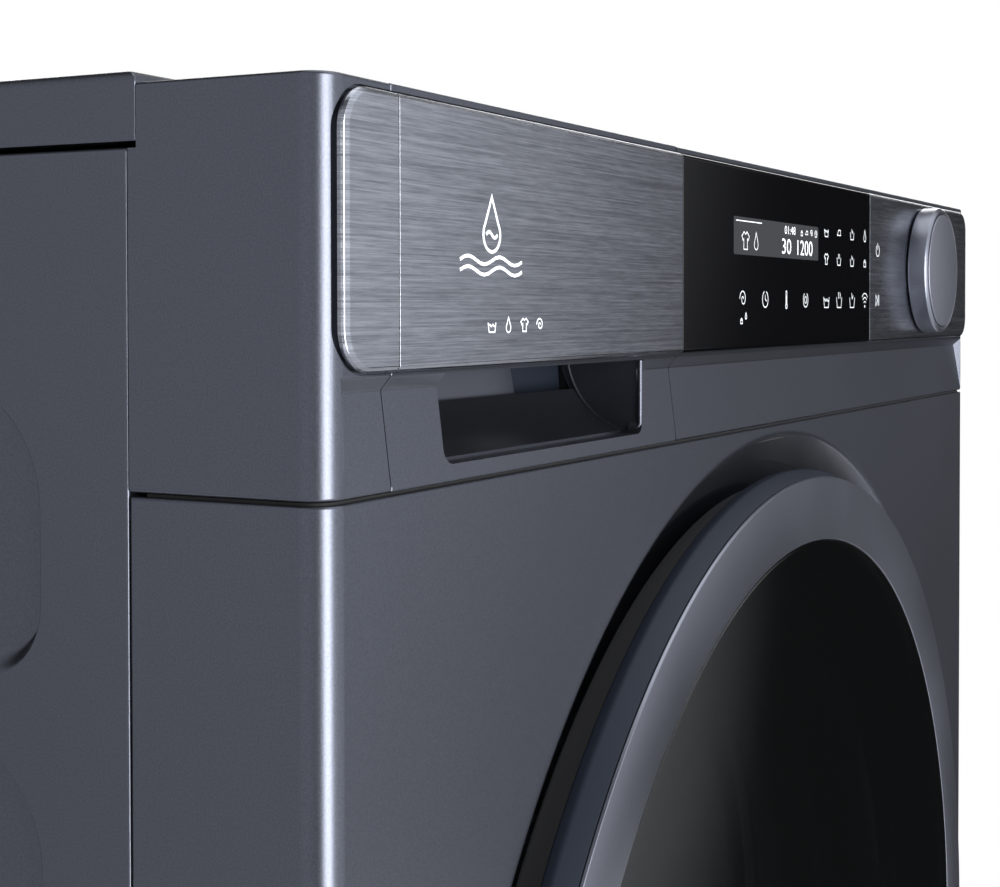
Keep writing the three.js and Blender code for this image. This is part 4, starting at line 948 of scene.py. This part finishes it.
ROW = [(-43.5, "spin"), (-20.2, "clock"), (3.4, "heat"), (26.4, "turn"), (52.9, "wash"), (70.1, "steam"),
       (88.4, "hand"), (107.1, "radio")]
keys = [path for x, z, sign in KEYS for path in at(x, z, 5.2, SIGNS[sign])]
keys += [path for x, sign in ROW for path in at(x, 48.2, 7.2, SIGNS[sign])]
keys += at(-45.0, 40.6, 3.2, SIGNS["lock"]) + at(-40.5, 42.0, 2.4, SIGNS["drop"])
print_marks("key_symbols", [stroke(p, LINE) for p in keys], "cabinet", SYMBOL, "display_glass")
press = at(127, 71.2, 6.4, SIGNS["power"]) + at(126.5, 48.4, 6.0, SIGNS["play"])
print_marks("start_symbols", [stroke(p, LINE) for p in press], "cabinet", INK, "brushed_plate")
badge = at(-228, 66.5, 15, [DROP, wave(-0.16, 0.4, 0.05, 1)])
badge += at(-228, 55.5, 30, [wave(0.06, 1.1, 0.035), wave(-0.03, 1.1, 0.035)])
small = []
for k, sign in enumerate(("wash", "drop", "shirt", "spin")):
    small += at(-228 + 9 * k, 40.3, 4.2, SIGNS[sign])
marks = [stroke(p, BOLD_LINE) for p in badge] + [stroke(p, FINE_LINE) for p in small]
print_marks("drawer_marks", marks, "drawer", INK, "brushed_plate")

# %% [markdown]
# ## Screen
# The screen is a lit rectangle behind the glass with numbers for time, temperature and spin
# speed. Numbers are set with Blender's own font and turned into thin solids. Where a programme's
# name would be, a shirt stands for it.

# %% Screen
screen = round_rect(-52.8, 42.0, 64.2, 77.8, 0.8, 4)
panel_lit = prism("screen", at_seam(screen), "Y", FACE - 0.012, FACE + 0.3)
settle(panel_lit, "cabinet", SCREEN, "display_glass")


def digits(name, text, x, z, height, width):
    curve = bpy.data.curves.new(name, "FONT")
    curve.body, curve.align_x, curve.align_y = text, "CENTER", "CENTER"
    curve.size, curve.extrude, curve.resolution_u = height * 1.38 * MM, 0.02 * MM, 3
    words = bpy.data.objects.new(name, curve)
    scene.collection.objects.link(words)
    bake_from = words.evaluated_get(bpy.context.evaluated_depsgraph_get())
    mesh = bpy.data.meshes.new_from_object(bake_from)
    bpy.data.objects.remove(words)
    wide = max(v.co.x for v in mesh.vertices) - min(v.co.x for v in mesh.vertices)
    squeeze = Matrix.Diagonal((width * MM / wide, 1, 1, 1))
    stand = Matrix.Rotation(math.radians(90), 4, "X")
    spot = Matrix.Translation((x * MM, (FACE - 0.02 + FRONT) * MM, (SEAM + z) * MM))
    mesh.transform(spot @ stand @ squeeze)
    made = bpy.data.objects.new(name, mesh)
    scene.collection.objects.link(made)
    return settle(made, "cabinet", SYMBOL, "display_glass")


digits("screen_degrees", "30", 3.4, 68.4, 6.2, 10.5)
digits("screen_speed", "1200", 24.6, 68.4, 6.2, 18.5)
digits("screen_time", "01:48", 7.6, 74.9, 3.3, 12.5)
signs = [(21.5, "lock"), (27.5, "iron"), (33.5, "spin"), (39.0, "clock")]
paths = [p for x, sign in signs for p in at(x, 74.9, 3.3, SIGNS[sign])]
paths += at(-41, 69.4, 7.6, [SHIRT]) + at(-30, 69.4, 6.6, [DROP])
paths += [[(-50.5, SEAM + 76.4), (-24, SEAM + 76.4)]]
print_marks("screen_symbols", [stroke(p, LINE) for p in paths], "cabinet", SYMBOL, "display_glass")

# %% [markdown]
# ## Knob
# The programme knob is a turned cup with a bright chamfer and a flat blasted cap let into its
# face. Both are turned from a profile with small fillets, since light on a knob is all in its
# edges. It rides on the dial, so it can turn.

# %% Knob
cup = [(0, -11), (27.6, -11), (27.6, -12.2), (29.2, -12.6), (30.5, -11.4), (30.5, -3.6), (29.7, -2.9),
       (3, -2.9), (3, 9), (0, 9)]
knob = revolve("knob_body", fillet(cup, [0, 0.2, 0.4, 0.5, 0.9, 0.5, 0.3, 0.3, 0.3, 0], 5), KNOB, 128)
settle(shade(knob, 50), "dial", GUNMETAL, "gunmetal", "knob_body")
face = [(0, -13), (27.3, -13), (27.3, -11.3), (0, -11.3)]
cap = revolve("knob_cap", fillet(face, [0, 0.5, 0.2, 0], 4), KNOB, 128)
settle(shade(cap, 50), "dial", CAP_METAL, "brushed_plate", "knob_cap")

# %% [markdown]
# ## Door
# The door is a stack of rings: a gunmetal trim ring on a navy frame, a charcoal frame behind it,
# a smoked disc in front and a clear glass bowl that reaches into the drum's mouth. Each is one
# profile of (radius, depth), turned with small fillets so that every rim catches a line of light.

# %% Door rings
RIM = DISH - 16.1
PANE = RIM - 24.7
turned = [
    ("door_trim_ring", [(PANE, -12.6), (RIM - 0.2, -12.7), (RIM + 0.2, -11.5), (RIM - 1, -11.3),
                        (RIM - 1, -9), (PANE, -9)],
     [0.5, 0.35, 0.3, 0, 0, 0], GUNMETAL, "gunmetal"),
    ("door_outer_frame", [(PANE - 14, -8.7), (RIM - 0.8, -8.7), (RIM - 0.8, -11.2), (RIM, -11.2),
                          (RIM + 2.7, -4.3), (RIM + 2.3, -0.7), (RIM - 1.3, -0.3), (PANE - 14, -0.3)],
     [0, 0, 0, 0.3, 4, 0.8, 0.4, 0], NAVY, "navy_plastic"),
    ("door_rear_frame", [(RIM - 0.8, 0), (RIM - 3.9, 10.3), (RIM - 8.3, 11.5), (MOUTH + 8, 11.5),
                         (MOUTH + 4, 8), (MOUTH + 4, 4.5), (MOUTH + 28, 4.5), (MOUTH + 28, 0)],
     [0.4, 2.5, 1.5, 1, 1, 0, 0, 0], CHARCOAL, "charcoal_plastic"),
    ("door_window", [(0, -12.6), (PANE - 0.3, -12.6), (PANE - 0.3, -9.2), (0, -9.2)],
     [0, 0.6, 0.3, 0], SMOKED, "smoked_window"),
]
for name, profile, radii, finish, slot in turned:
    made = revolve(name, fillet(profile, radii, 5), segments=200)
    settle(shade(made, 40), "door", finish, slot, name)

# %% [markdown]
# ## Glass bowl
# The bowl is pressed glass about 4 mm thick. Its steep wall pushes laundry back into the drum and
# its shoulder seals against the gasket. Large fillets round every step, as in a real pressing.

# %% Bowl
outside = [(MOUTH + 26, 0.1), (MOUTH + 26, 4.1), (MOUTH + 3, 4.1), (MOUTH - 8, 14), (MOUTH - 12.5, 36),
           (MOUTH - 26, 72), (MOUTH - 58, 90), (0, 97)]
inside = [(0, 93), (MOUTH - 60, 86), (MOUTH - 30, 70), (MOUTH - 16.5, 35), (MOUTH - 12, 13), (MOUTH - 2, 0.1)]
curves = [0.8, 0.8, 5, 12, 30, 22, 40, 0, 0, 40, 20, 30, 12, 3]
bowl = revolve("door_bowl", fillet(outside + inside, curves, 7), segments=160)
settle(shade(bowl, 60), "door", BOWL, "bowl_glass", "door_bowl")

# %% [markdown]
# ## Hinge and latch
# The hinge is a bracket in the dish with two knuckles, a pin and a cranked arm on the door. The
# latch is a hook on a spring that the lock in the front panel catches. Their forms are right in
# the frame, so they stay, and `keep` gives a node its finish and rounds its edges with modifiers.

# %% Nodes that stay
def keep(node, finish, width=0.3, angle=40):
    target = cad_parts[node]
    target.data.materials.clear()
    target.data.materials.append(finish)
    join = target.modifiers.new("join corners", "WELD")
    join.merge_threshold = 0.01 * MM
    smooth = target.modifiers.new("edges", "BEVEL")
    smooth.width, smooth.segments = width * MM, 2
    smooth.limit_method, smooth.angle_limit = "ANGLE", math.radians(angle)
    smooth.use_clamp_overlap = True
    return target


for node in ("door_hinge_bracket", "door_hinge_arm", "door_latch_hook"):
    keep(node, ZINC, 0.25)
keep("door_hinge_pin", STEEL, 0.2, 50)
keep("door_lock", BLACK, 0.6)

# %% [markdown]
# ## Gasket
# The rubber bellows closes the gap between the still front and the tub, which bounces. Its front
# lip is clamped in the mouth and its rear bead sits on the tub. Its lip, its folds and its bead are
# all in one profile.

# %% Gasket
m = MOUTH
folds = [(m - 8.5, 22.6), (m + 8, 22.6), (m + 8, 25.1), (m - 0.4, 25.3), (m - 0.4, 27.9), (m + 7, 27.9),
         (m + 7, 32), (m + 1, 35.5), (m + 18, 47), (m + 6, 62), (m + 9, 74.6), (m + 3, 74.6), (m + 1, 61),
         (m + 13, 47.5), (m - 5, 37.5), (m - 11.7, 36.5), (m - 11.9, 34.5), (m - 10.6, 33.5),
         (m - 10.9, 30.5), (m - 9.6, 29.5), (m - 9.9, 26.5), (m - 8.6, 25.5)]
curves = [1.2, 0.6, 0.4, 0.2, 0.2, 0.6, 1.5, 2, 5, 4, 0.6, 0.8, 4, 4, 3, 0.8] + [0.6] * 6
gasket = shade(revolve("gasket", fillet(folds, curves, 4), segments=144), 60)
gasket.data.materials.append(RUBBER)
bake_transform(gasket)
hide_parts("gasket")
print("gasket", len(gasket.data.polygons), "faces")

# %% [markdown]
# ## Drum
# The drum is rolled stainless steel with hundreds of small holes. Holes that are only painted on
# look flat, so the wall is built from cells: each cell is a square of sheet with an eight sided
# hole in its middle. The ends are turned rings whose segments match the cells' corners, so that
# they join without a gap.

# %% Drum wall
DRUM_BACK = reach("drum_shell")[1].y - FRONT
DRUM = reach("drum_shell")[1].x
AROUND, ROWS = 66, 24


def drum_wall(y0, y1):
    points, faces = [], []
    pitch, turn = (y1 - y0) / ROWS, 2 * math.pi / AROUND
    for row in range(ROWS):
        for cell in range(AROUND):
            base, middle = len(points), y0 + (row + 0.5) * pitch
            for radius in (DRUM, DRUM - SHEET):
                rim = [(-1, -1), (0, -1), (1, -1), (1, 0), (1, 1), (0, 1), (-1, 1), (-1, 0)]
                spots = [(0.5 * turn * u, 0.5 * pitch * v) for u, v in rim]
                for u, v in rim:
                    size = 2.1 / math.hypot(u, v)
                    spots.append((u * size / DRUM, v * size))
                for swing, step in spots:
                    t = cell * turn + swing
                    points.append((radius * math.cos(t), middle + step, AXIS + radius * math.sin(t)))
            for k in range(8):
                a, b = base + k, base + (k + 1) % 8
                faces += [(a, b, b + 8, a + 8), (a + 16, a + 24, b + 24, b + 16)]
                faces.append((a + 8, b + 8, b + 24, a + 24))
    return points, faces


y0, y1 = 110, DRUM_BACK - 8
points, faces = drum_wall(y0, y1)
ends = [
    [(DRUM, y0), (DRUM, 106), (DRUM - 8, 98), (MOUTH + 18, 95.5), (MOUTH + 9, 90.5), (MOUTH + 5, 92),
     (MOUTH + 6, 94), (MOUTH + 9, 92.4), (MOUTH + 17.4, 97.1), (DRUM - 8.7, 99.6), (DRUM - SHEET, 107),
     (DRUM - SHEET, y0)],
    [(DRUM - SHEET, y1), (DRUM - 2.2, DRUM_BACK - 5), (DRUM - 7, DRUM_BACK - SHEET), (150, DRUM_BACK - SHEET),
     (140, DRUM_BACK - 7), (60, DRUM_BACK - 9), (48, DRUM_BACK - SHEET), (0, DRUM_BACK - SHEET),
     (0, DRUM_BACK), (49, DRUM_BACK), (61, DRUM_BACK - 7.5), (139, DRUM_BACK - 5.5), (149, DRUM_BACK),
     (DRUM - 6, DRUM_BACK), (DRUM, DRUM_BACK - 5), (DRUM, y1)],
]
for profile in ends:
    count = len(profile)
    for i in range(2 * AROUND):
        base, ahead = len(points), len(points) + count
        for t in (i, i + 1):
            turn = math.pi * (t - 1) / AROUND
            points += [(r * math.cos(turn), y, AXIS + r * math.sin(turn)) for r, y in profile]
        faces += [(base + k, base + k + 1, ahead + k + 1, ahead + k) for k in range(count - 1)]
drum = piece("drum_shell", points, faces)
settle(shade(drum, 40), "drum", STEEL, "drum_steel", "drum_shell")

# %% [markdown]
# ## Lifters
# Three hollow ribs lift the laundry. They are charcoal mouldings with rounded crowns and sloped
# ends, pinned to the wall. One outline is lofted along the drum, shrinking towards both ends, and
# the loft is turned into its three places.

# %% Lifters
seat = DRUM - SHEET - 1.2


def lifter(name, turn):
    rings = []
    stations = [(115, 0.35), (121, 0.75), (131, 0.95), (150, 1), (DRUM_BACK - 47, 1), (DRUM_BACK - 28, 0.95),
                (DRUM_BACK - 18, 0.75), (DRUM_BACK - 12, 0.35)]
    for y, share in stations:
        top = seat - 2.2 - (42 - 2.2) * share
        side = 30 * (0.55 + 0.45 * share)
        outline = fillet([(-side, seat - 2.2), (-12, top + 6), (-7, top), (7, top), (12, top + 6),
                          (side, seat - 2.2), (0, seat)], [1, 6, 4, 4, 6, 1, 0], 4)
        c, s = math.cos(turn), math.sin(turn)
        rings.append([(u * c + v * s, y, AXIS - u * s + v * c) for u, v in outline])
    return loft(name, rings)


for k in range(3):
    name = f"drum_lifter_{k + 1}"
    rib = shade(lifter(name, 2 * math.pi * k / 3), 45)
    settle(rib, "drum", CHARCOAL, "charcoal_plastic", name)

# %% [markdown]
# ## Back
# The rear panel is bare galvanised sheet. Pressed ribs stiffen it, slots let the motor's heat
# out, plastic caps cover the places of the transit bolts, and a row of screws holds it. Ribs are
# soft bumps, so they are lofts welded on; slots and holes are carved through.

# %% Rear panel
panel_low, panel_high = reach("rear_panel")
inlet = reach("inlet_valve")
INLET = ((inlet[0].x + inlet[1].x) / 2, (inlet[0].z + inlet[1].z) / 2)
outline = round_rect(panel_low.x, panel_high.x, panel_low.z, panel_high.z, 4, 5)
rear = prism("rear_panel", outline, "Y", BACK - SHEET, BACK)


def through(label, shape):
    return prism(label, shape, "Y", BACK - 6, BACK + 6)


RIB_HIGH, RIB_SUNK = 2.2, 0.6  # a rib's height, and how far its foot is let into the sheet


def rib(x0, x1, z0, z1):
    rings = []
    for k in range(6):
        t = k / 5
        soft = t * t * (3 - 2 * t)
        grow = 5 * (1 - t)
        shape = round_rect(x0 - grow, x1 + grow, z0 - grow, z1 + grow, 7 + grow, 8)
        rings.append(lay(shape, "Y", BACK - RIB_SUNK + (RIB_HIGH + RIB_SUNK) * soft))
    return loft("rib", rings)


ribs = [(-262, -248, 110, 700), (248, 262, 110, 700), (-200, 60, 770, 784), (-120, 120, 100, 114),
        (-200, -186, 200, 300), (186, 200, 200, 300)]
for spot in ribs:
    weld(rear, rib(*spot))
holes = [through("cover hole", circle(0, AXIS, 160, 96)), through("inlet", circle(*INLET, 13.6)),
         through("gland", circle(-210, INLET[1], 8))]
slots = [(x, z) for x in range(-96, 97, 24) for z in (140, 172, 204)]
holes += [through("slot", round_rect(x - 3, x + 3, z, z + 24, 3, 5)) for x, z in slots]
carve(rear, *holes)
settle(soften(rear, 0.4, 2, 40), "cabinet", ZINC, "zinc_steel", "rear_panel")

# %% Rear cover
y = BACK + 0.3
cover = [(0, y + 8), (44, y + 8), (50, y + 5.6), (120, y + 5.6), (126, y + 8), (138, y + 8), (154, y + SHEET),
         (175, y + SHEET), (175, y), (153, y), (137, y + 6.5), (127, y + 6.5), (121, y + 4.1), (49, y + 4.1),
         (43, y + 6.5), (0, y + 6.5)]
curves = [0, 3, 3, 3, 3, 4, 4, 0.5, 0.3, 4, 4, 3, 3, 3, 3, 0]
rear_lid = revolve("rear_cover", fillet(cover, curves, 4), segments=128)
settle(shade(rear_lid, 40), "cabinet", ZINC, "zinc_steel", "rear_cover")

# %% [markdown]
# ## Screws and transit caps
# A screw head is a low dome with a cross recess. Small as it is, it is what says that a sheet is
# fixed. `screw` turns the dome and carves the cross; the transit caps are turned buttons with a
# raised middle.

# %% Fixings
HEAD = 4.2  # a screw head's radius


def screw(name, x, z, depth):
    head = [(0, depth + 2.2), (HEAD * 0.55, depth + 1.9), (HEAD * 0.9, depth + 1.0), (HEAD, depth - 0.2),
            (0, depth - 0.2)]
    dome = revolve(name, fillet(head, [0, 2, 1, 0.2, 0], 4), (x, z), 32)
    for w, h in ((2.4, 0.5), (0.5, 2.4)):
        carve(dome, block("recess", x - w, x + w, depth + 1.2, depth + 3, z - h, z + h))
    return settle(shade(dome, 40), "cabinet", ZINC, "zinc_steel")


spots = [(-285, z) for z in (90, 300, 520, 740)] + [(285, z) for z in (90, 300, 520, 740)]
spots += [(x, 815) for x in (-180, 0, 180)] + [(x, 60) for x in (-180, 0, 180)]
for k, (x, z) in enumerate(spots):
    screw(f"rear_screw_{k + 1}", x, z, BACK)
for k in range(6):
    turn = math.pi * (k + 0.5) / 3
    screw(f"cover_screw_{k + 1}", 168 * math.cos(turn), AXIS + 168 * math.sin(turn), BACK + 0.3 + SHEET)
cap_shape = [(0, 4.5), (9, 4.5), (10.5, 5.5), (13, 5.5), (15, 1), (15, -0.2), (0, -0.2)]
for k, (x, z) in enumerate([(-225, 640), (225, 640), (-225, 330), (225, 330)]):
    profile = fillet([(r, BACK + d) for r, d in cap_shape], [0, 1, 1, 1, 1, 0, 0], 4)
    cap = shade(revolve(f"transit_cap_{k + 1}", profile, (x, z), 48), 40)
    settle(cap, "cabinet", BLACK, "black_plastic")

# %% [markdown]
# ## Feet
# Each foot is a screw with a wide rubber shod pad, a hexagon to turn it by, and a threaded stem.
# The thread is turned as a stack of ridges, which looks the same as a helix at this size and
# makes a closed mesh. It sits where the frame's foot sits.

# %% Feet
for name, body in (("foot_front_left", "foot_fl"), ("foot_rear_left", "foot_rl"),
                   ("foot_front_right", "foot_fr"), ("foot_rear_right", "foot_rr")):
    low, high = reach(name)
    x, y = (low.x + high.x) / 2, (low.y + high.y) / 2 - FRONT
    shoe = [(0, 0), (17.5, 0), (20, 1.5), (20, 5), (18.5, 8), (8.5, 9.5), (8, 13), (5, 13.2)]
    thread = [p for k in range(20) for p in ((4.1, 13.6 + 2 * k), (5, 14.6 + 2 * k))]
    profile = fillet(shoe, [0, 1, 1.5, 1, 2, 2, 0.3, 0], 4) + thread + [(4.0, high.z - 0.8), (0, high.z)]
    foot = revolve(name, profile, (x, y), 48, "Z")
    nut = prism("hexagon", circle(x, y, 10.5, 6), "Z", 13, 19.5)
    settle(soften(weld(foot, nut), 0.3, 2, 40), body, BLACK, "black_plastic", name)

# %% [markdown]
# ## Lint trap cap
# Behind the flap is a round cap with a wing to grip, and ridges round its edge. The cap is a
# turned disc with a notched rim; the wing is a rounded block that is waisted for the fingers.

# %% Filter cap
cap_low, cap_high = reach("filter_cap")
fx, fz = (cap_low.x + cap_high.x) / 2, (cap_low.z + cap_high.z) / 2
rim = []
for k in range(96):
    radius = 23 - (0.9 if k % 4 >= 2 else 0)
    rim.append((fx + radius * math.cos(math.pi * k / 48), fz + radius * math.sin(math.pi * k / 48)))
disc = prism("filter_cap", rim, "Y", 20, 29.6)
stem = fillet([(0, 29), (18.4, 29), (18.4, 58), (16, 60), (0, 60)], [0, 0, 1, 1, 0])
plug = revolve("plug", stem, (fx, fz), 48)
grip = fillet([(fx - 3, fz - 19), (fx + 3, fz - 19), (fx + 2, fz), (fx + 3, fz + 19), (fx - 3, fz + 19),
               (fx - 2, fz)], [2, 2, 8, 2, 2, 8], 5)
weld(disc, plug, prism("wing", grip, "Y", 12, 21))
settle(soften(disc, 0.35, 2, 40), "lint_cap", BLACK, "black_plastic", "filter_cap")

# %% [markdown]
# ## Drawer inside
# The tray has three compartments; its corners are rounded so that powder rinses out. It is carved
# from a rounded block. The softener cover and the dispenser's box keep their nodes.

# %% Tray
tray_low, tray_high = reach("drawer_tray")
x0, x1 = tray_low.x, tray_high.x
t0, t1 = 34, tray_high.y - FRONT
tray = prism("drawer_tray", round_rect(x0, x1, t0, t1, 3, 5), "Z", SEAM + 8, SEAM + 70)
pitch = (x1 - x0 - 2) / 3
for k in range(3):
    left = x0 + 2 + k * pitch
    well = [
        lay(round_rect(left + g, left + pitch - 2 - g, t0 + 2 + g, t1 - 2 - g, 7, 6), "Z", SEAM + z)
        for g, z in ((5, 10), (2.4, 11), (0.8, 13), (0, 17), (0, 74))
    ]
    carve(tray, loft("well", well))
for left in (x0, x1 - 2):
    weld(tray, seam_block("arm", left, left + 2, 21.9, 36, 40, 70))
settle(soften(tray, 0.5, 2, 40), "drawer", WHITE, "white_plastic", "drawer_tray")

# %% [markdown]
# ## Suspension springs
# Each spring hangs the tub from the side panel. Its upper end stays and its lower end moves with
# the tub. It is one wire swept along a helix.

# %% Springs
for word in ("left", "right"):
    low, high = reach(f"spring_{word}")
    x, y = (low.x + high.x) / 2, (low.y + high.y) / 2 - FRONT
    z0, z1, wire, coil, turns = low.z + 2.4, high.z - 2.4, 2.4, 10.8, 11
    rings = []
    steps = turns * 24
    for k in range(steps + 1):
        t = k / steps * turns * 2 * math.pi
        centre = Vector((x + coil * math.cos(t), y + coil * math.sin(t), z0 + (z1 - z0) * k / steps))
        out, up = Vector((math.cos(t), math.sin(t), 0)), Vector((0, 0, 1))
        rings.append([tuple(centre + wire * (out * c + up * s)) for c, s in circle(0, 0, 1, 10)])
    spring = shade(loft(f"spring_{word}", rings), 60)
    spring.data.materials.append(STEEL)
    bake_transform(spring)
    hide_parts(f"spring_{word}")

# %% [markdown]
# ## Working parts
# The tub, bearings, counterweights, pulley, belt, motor, dampers, pump, valve and board are only
# seen when the machine is opened. Their forms are right in the frame, so each keeps its node and
# gets its own finish and rounded edges.

# %% Inner nodes
inner = [
    (TUB_GREY, 0.8, ("tub_front", "tub_rear", "dispenser_box", "drain_pump")),
    (CONCRETE, 2.0, ("counterweight_front", "counterweight_top")),
    (STEEL, 0.4, ("bearing_front", "bearing_rear", "damper_rod_left", "damper_rod_right", "motor_pulley")),
    (CAST, 0.8, ("drum_spider", "drum_pulley")),
    (ZINC, 0.8, ("motor", "damper_tube_left", "damper_tube_right")),
    (BELT, 0.3, ("drive_belt",)),
    (BLACK, 0.8, ("base_frame",)),
    (NAVY, 0.4, ("softener_cover",)),
    (WHITE, 0.6, ("inlet_valve",)),
    (BOARD, 0.3, ("control_board",)),
]
for finish, width, nodes in inner:
    for node in nodes:
        keep(node, finish, width)
print("kept nodes", sum(len(nodes) for _, _, nodes in inner))

# %% [markdown]
# ## Floor and light
# The machine stands on a plain pale floor in a dark studio, so its metallic paint shows what it
# mirrors. A broad softbox in front of the near corner draws the bright line down it. The large
# soft glows to the left and to the front right are painted into the world as round patches that
# fade out, because a patch so wide would need a lamp bigger than the room. The world stays white
# to the camera: that switch is in the world's own nodes and no material knows of it.

# %% Floor
floor = loft("floor", [[(x, y - FRONT, z) for x, y in circle(0, 0, 1500, 96)] for z in (-4, 0)])
floor_finish = moulded("pale floor", tone(232, 232, 234), 0.5, 0.0, 60, 0.02, 0.02)
floor.data.materials.append(floor_finish)


# %% Lights
def softbox(name, spot, aim, wide, tall, watts):
    data = bpy.data.lights.new(name, "AREA")
    data.shape, data.size, data.size_y, data.energy = "RECTANGLE", wide, tall, watts
    lamp = bpy.data.objects.new(name, data)
    lamp.location = spot
    lamp.rotation_mode = "QUATERNION"
    lamp.rotation_quaternion = (Vector(aim) - Vector(spot)).to_track_quat("-Z", "Y")
    lamp.visible_camera = False
    scene.collection.objects.link(lamp)


corner = (-0.3, FRONT * MM, 0.75)
softbox("corner box", (-1.05, -2.35, 0.45), corner, 1.1, 2.6, 110)
softbox("top box", (0.2, -0.2, 2.6), (0, 0, 0.8), 1.6, 1.6, 13)
softbox("right box", (2.3, 0.5, 1.5), (0.3, 0.1, 0.5), 1.5, 1.5, 26)
softbox("rear box", (1.2, 2.4, 1.8), (0, 0.2, 0.5), 1.8, 1.6, 45)
bulb = bpy.data.lights.new("drum lamp", "POINT")
bulb.energy, bulb.shadow_soft_size = 1.2, 0.03
glow = bpy.data.objects.new("drum lamp", bulb)
glow.location = (0.05, 0.0, (AXIS + 120) * MM)
scene.collection.objects.link(glow)

# %% World
world = bpy.data.worlds.new("studio")
scene.world = world
sky = Nodes(world)
toward = sky.node("ShaderNodeTexCoord")


def patch(azimuth, height, inner, outer, strength):
    """A round glow: full inside the inner angle, gone at the outer one. Azimuth counts from +X."""
    a, h = math.radians(azimuth), math.radians(height)
    centre = (math.cos(a) * math.cos(h), math.sin(a) * math.cos(h), math.sin(h))
    near = sky.node("ShaderNodeVectorMath", {"operation": "DOT_PRODUCT"}, {0: toward, 1: centre}, out=1)
    edges = {0: near, 1: math.cos(math.radians(outer)), 2: math.cos(math.radians(inner)), 3: 0.0, 4: 1.0}
    return strength * sky.node("ShaderNodeMapRange", {"interpolation_type": "SMOOTHSTEP"}, edges)


light = 0.008 + patch(-80, 8, 42, 60, 1.4) + patch(165, 10, 20, 65, 0.85) + patch(-30, 62, 10, 38, 0.9)
room = sky.node("ShaderNodeBackground", {}, {"Color": (0.93, 0.95, 1.0, 1.0), "Strength": light})
paper = sky.node("ShaderNodeBackground", {}, {"Color": (1.0, 1.0, 1.0, 1.0)})
seen = sky.node("ShaderNodeLightPath")
mixed = sky.node("ShaderNodeMixShader", {}, {0: seen, 1: room, 2: paper})
sky.tree.links.new(mixed.socket, sky.tree.nodes["World Output"].inputs["Surface"])
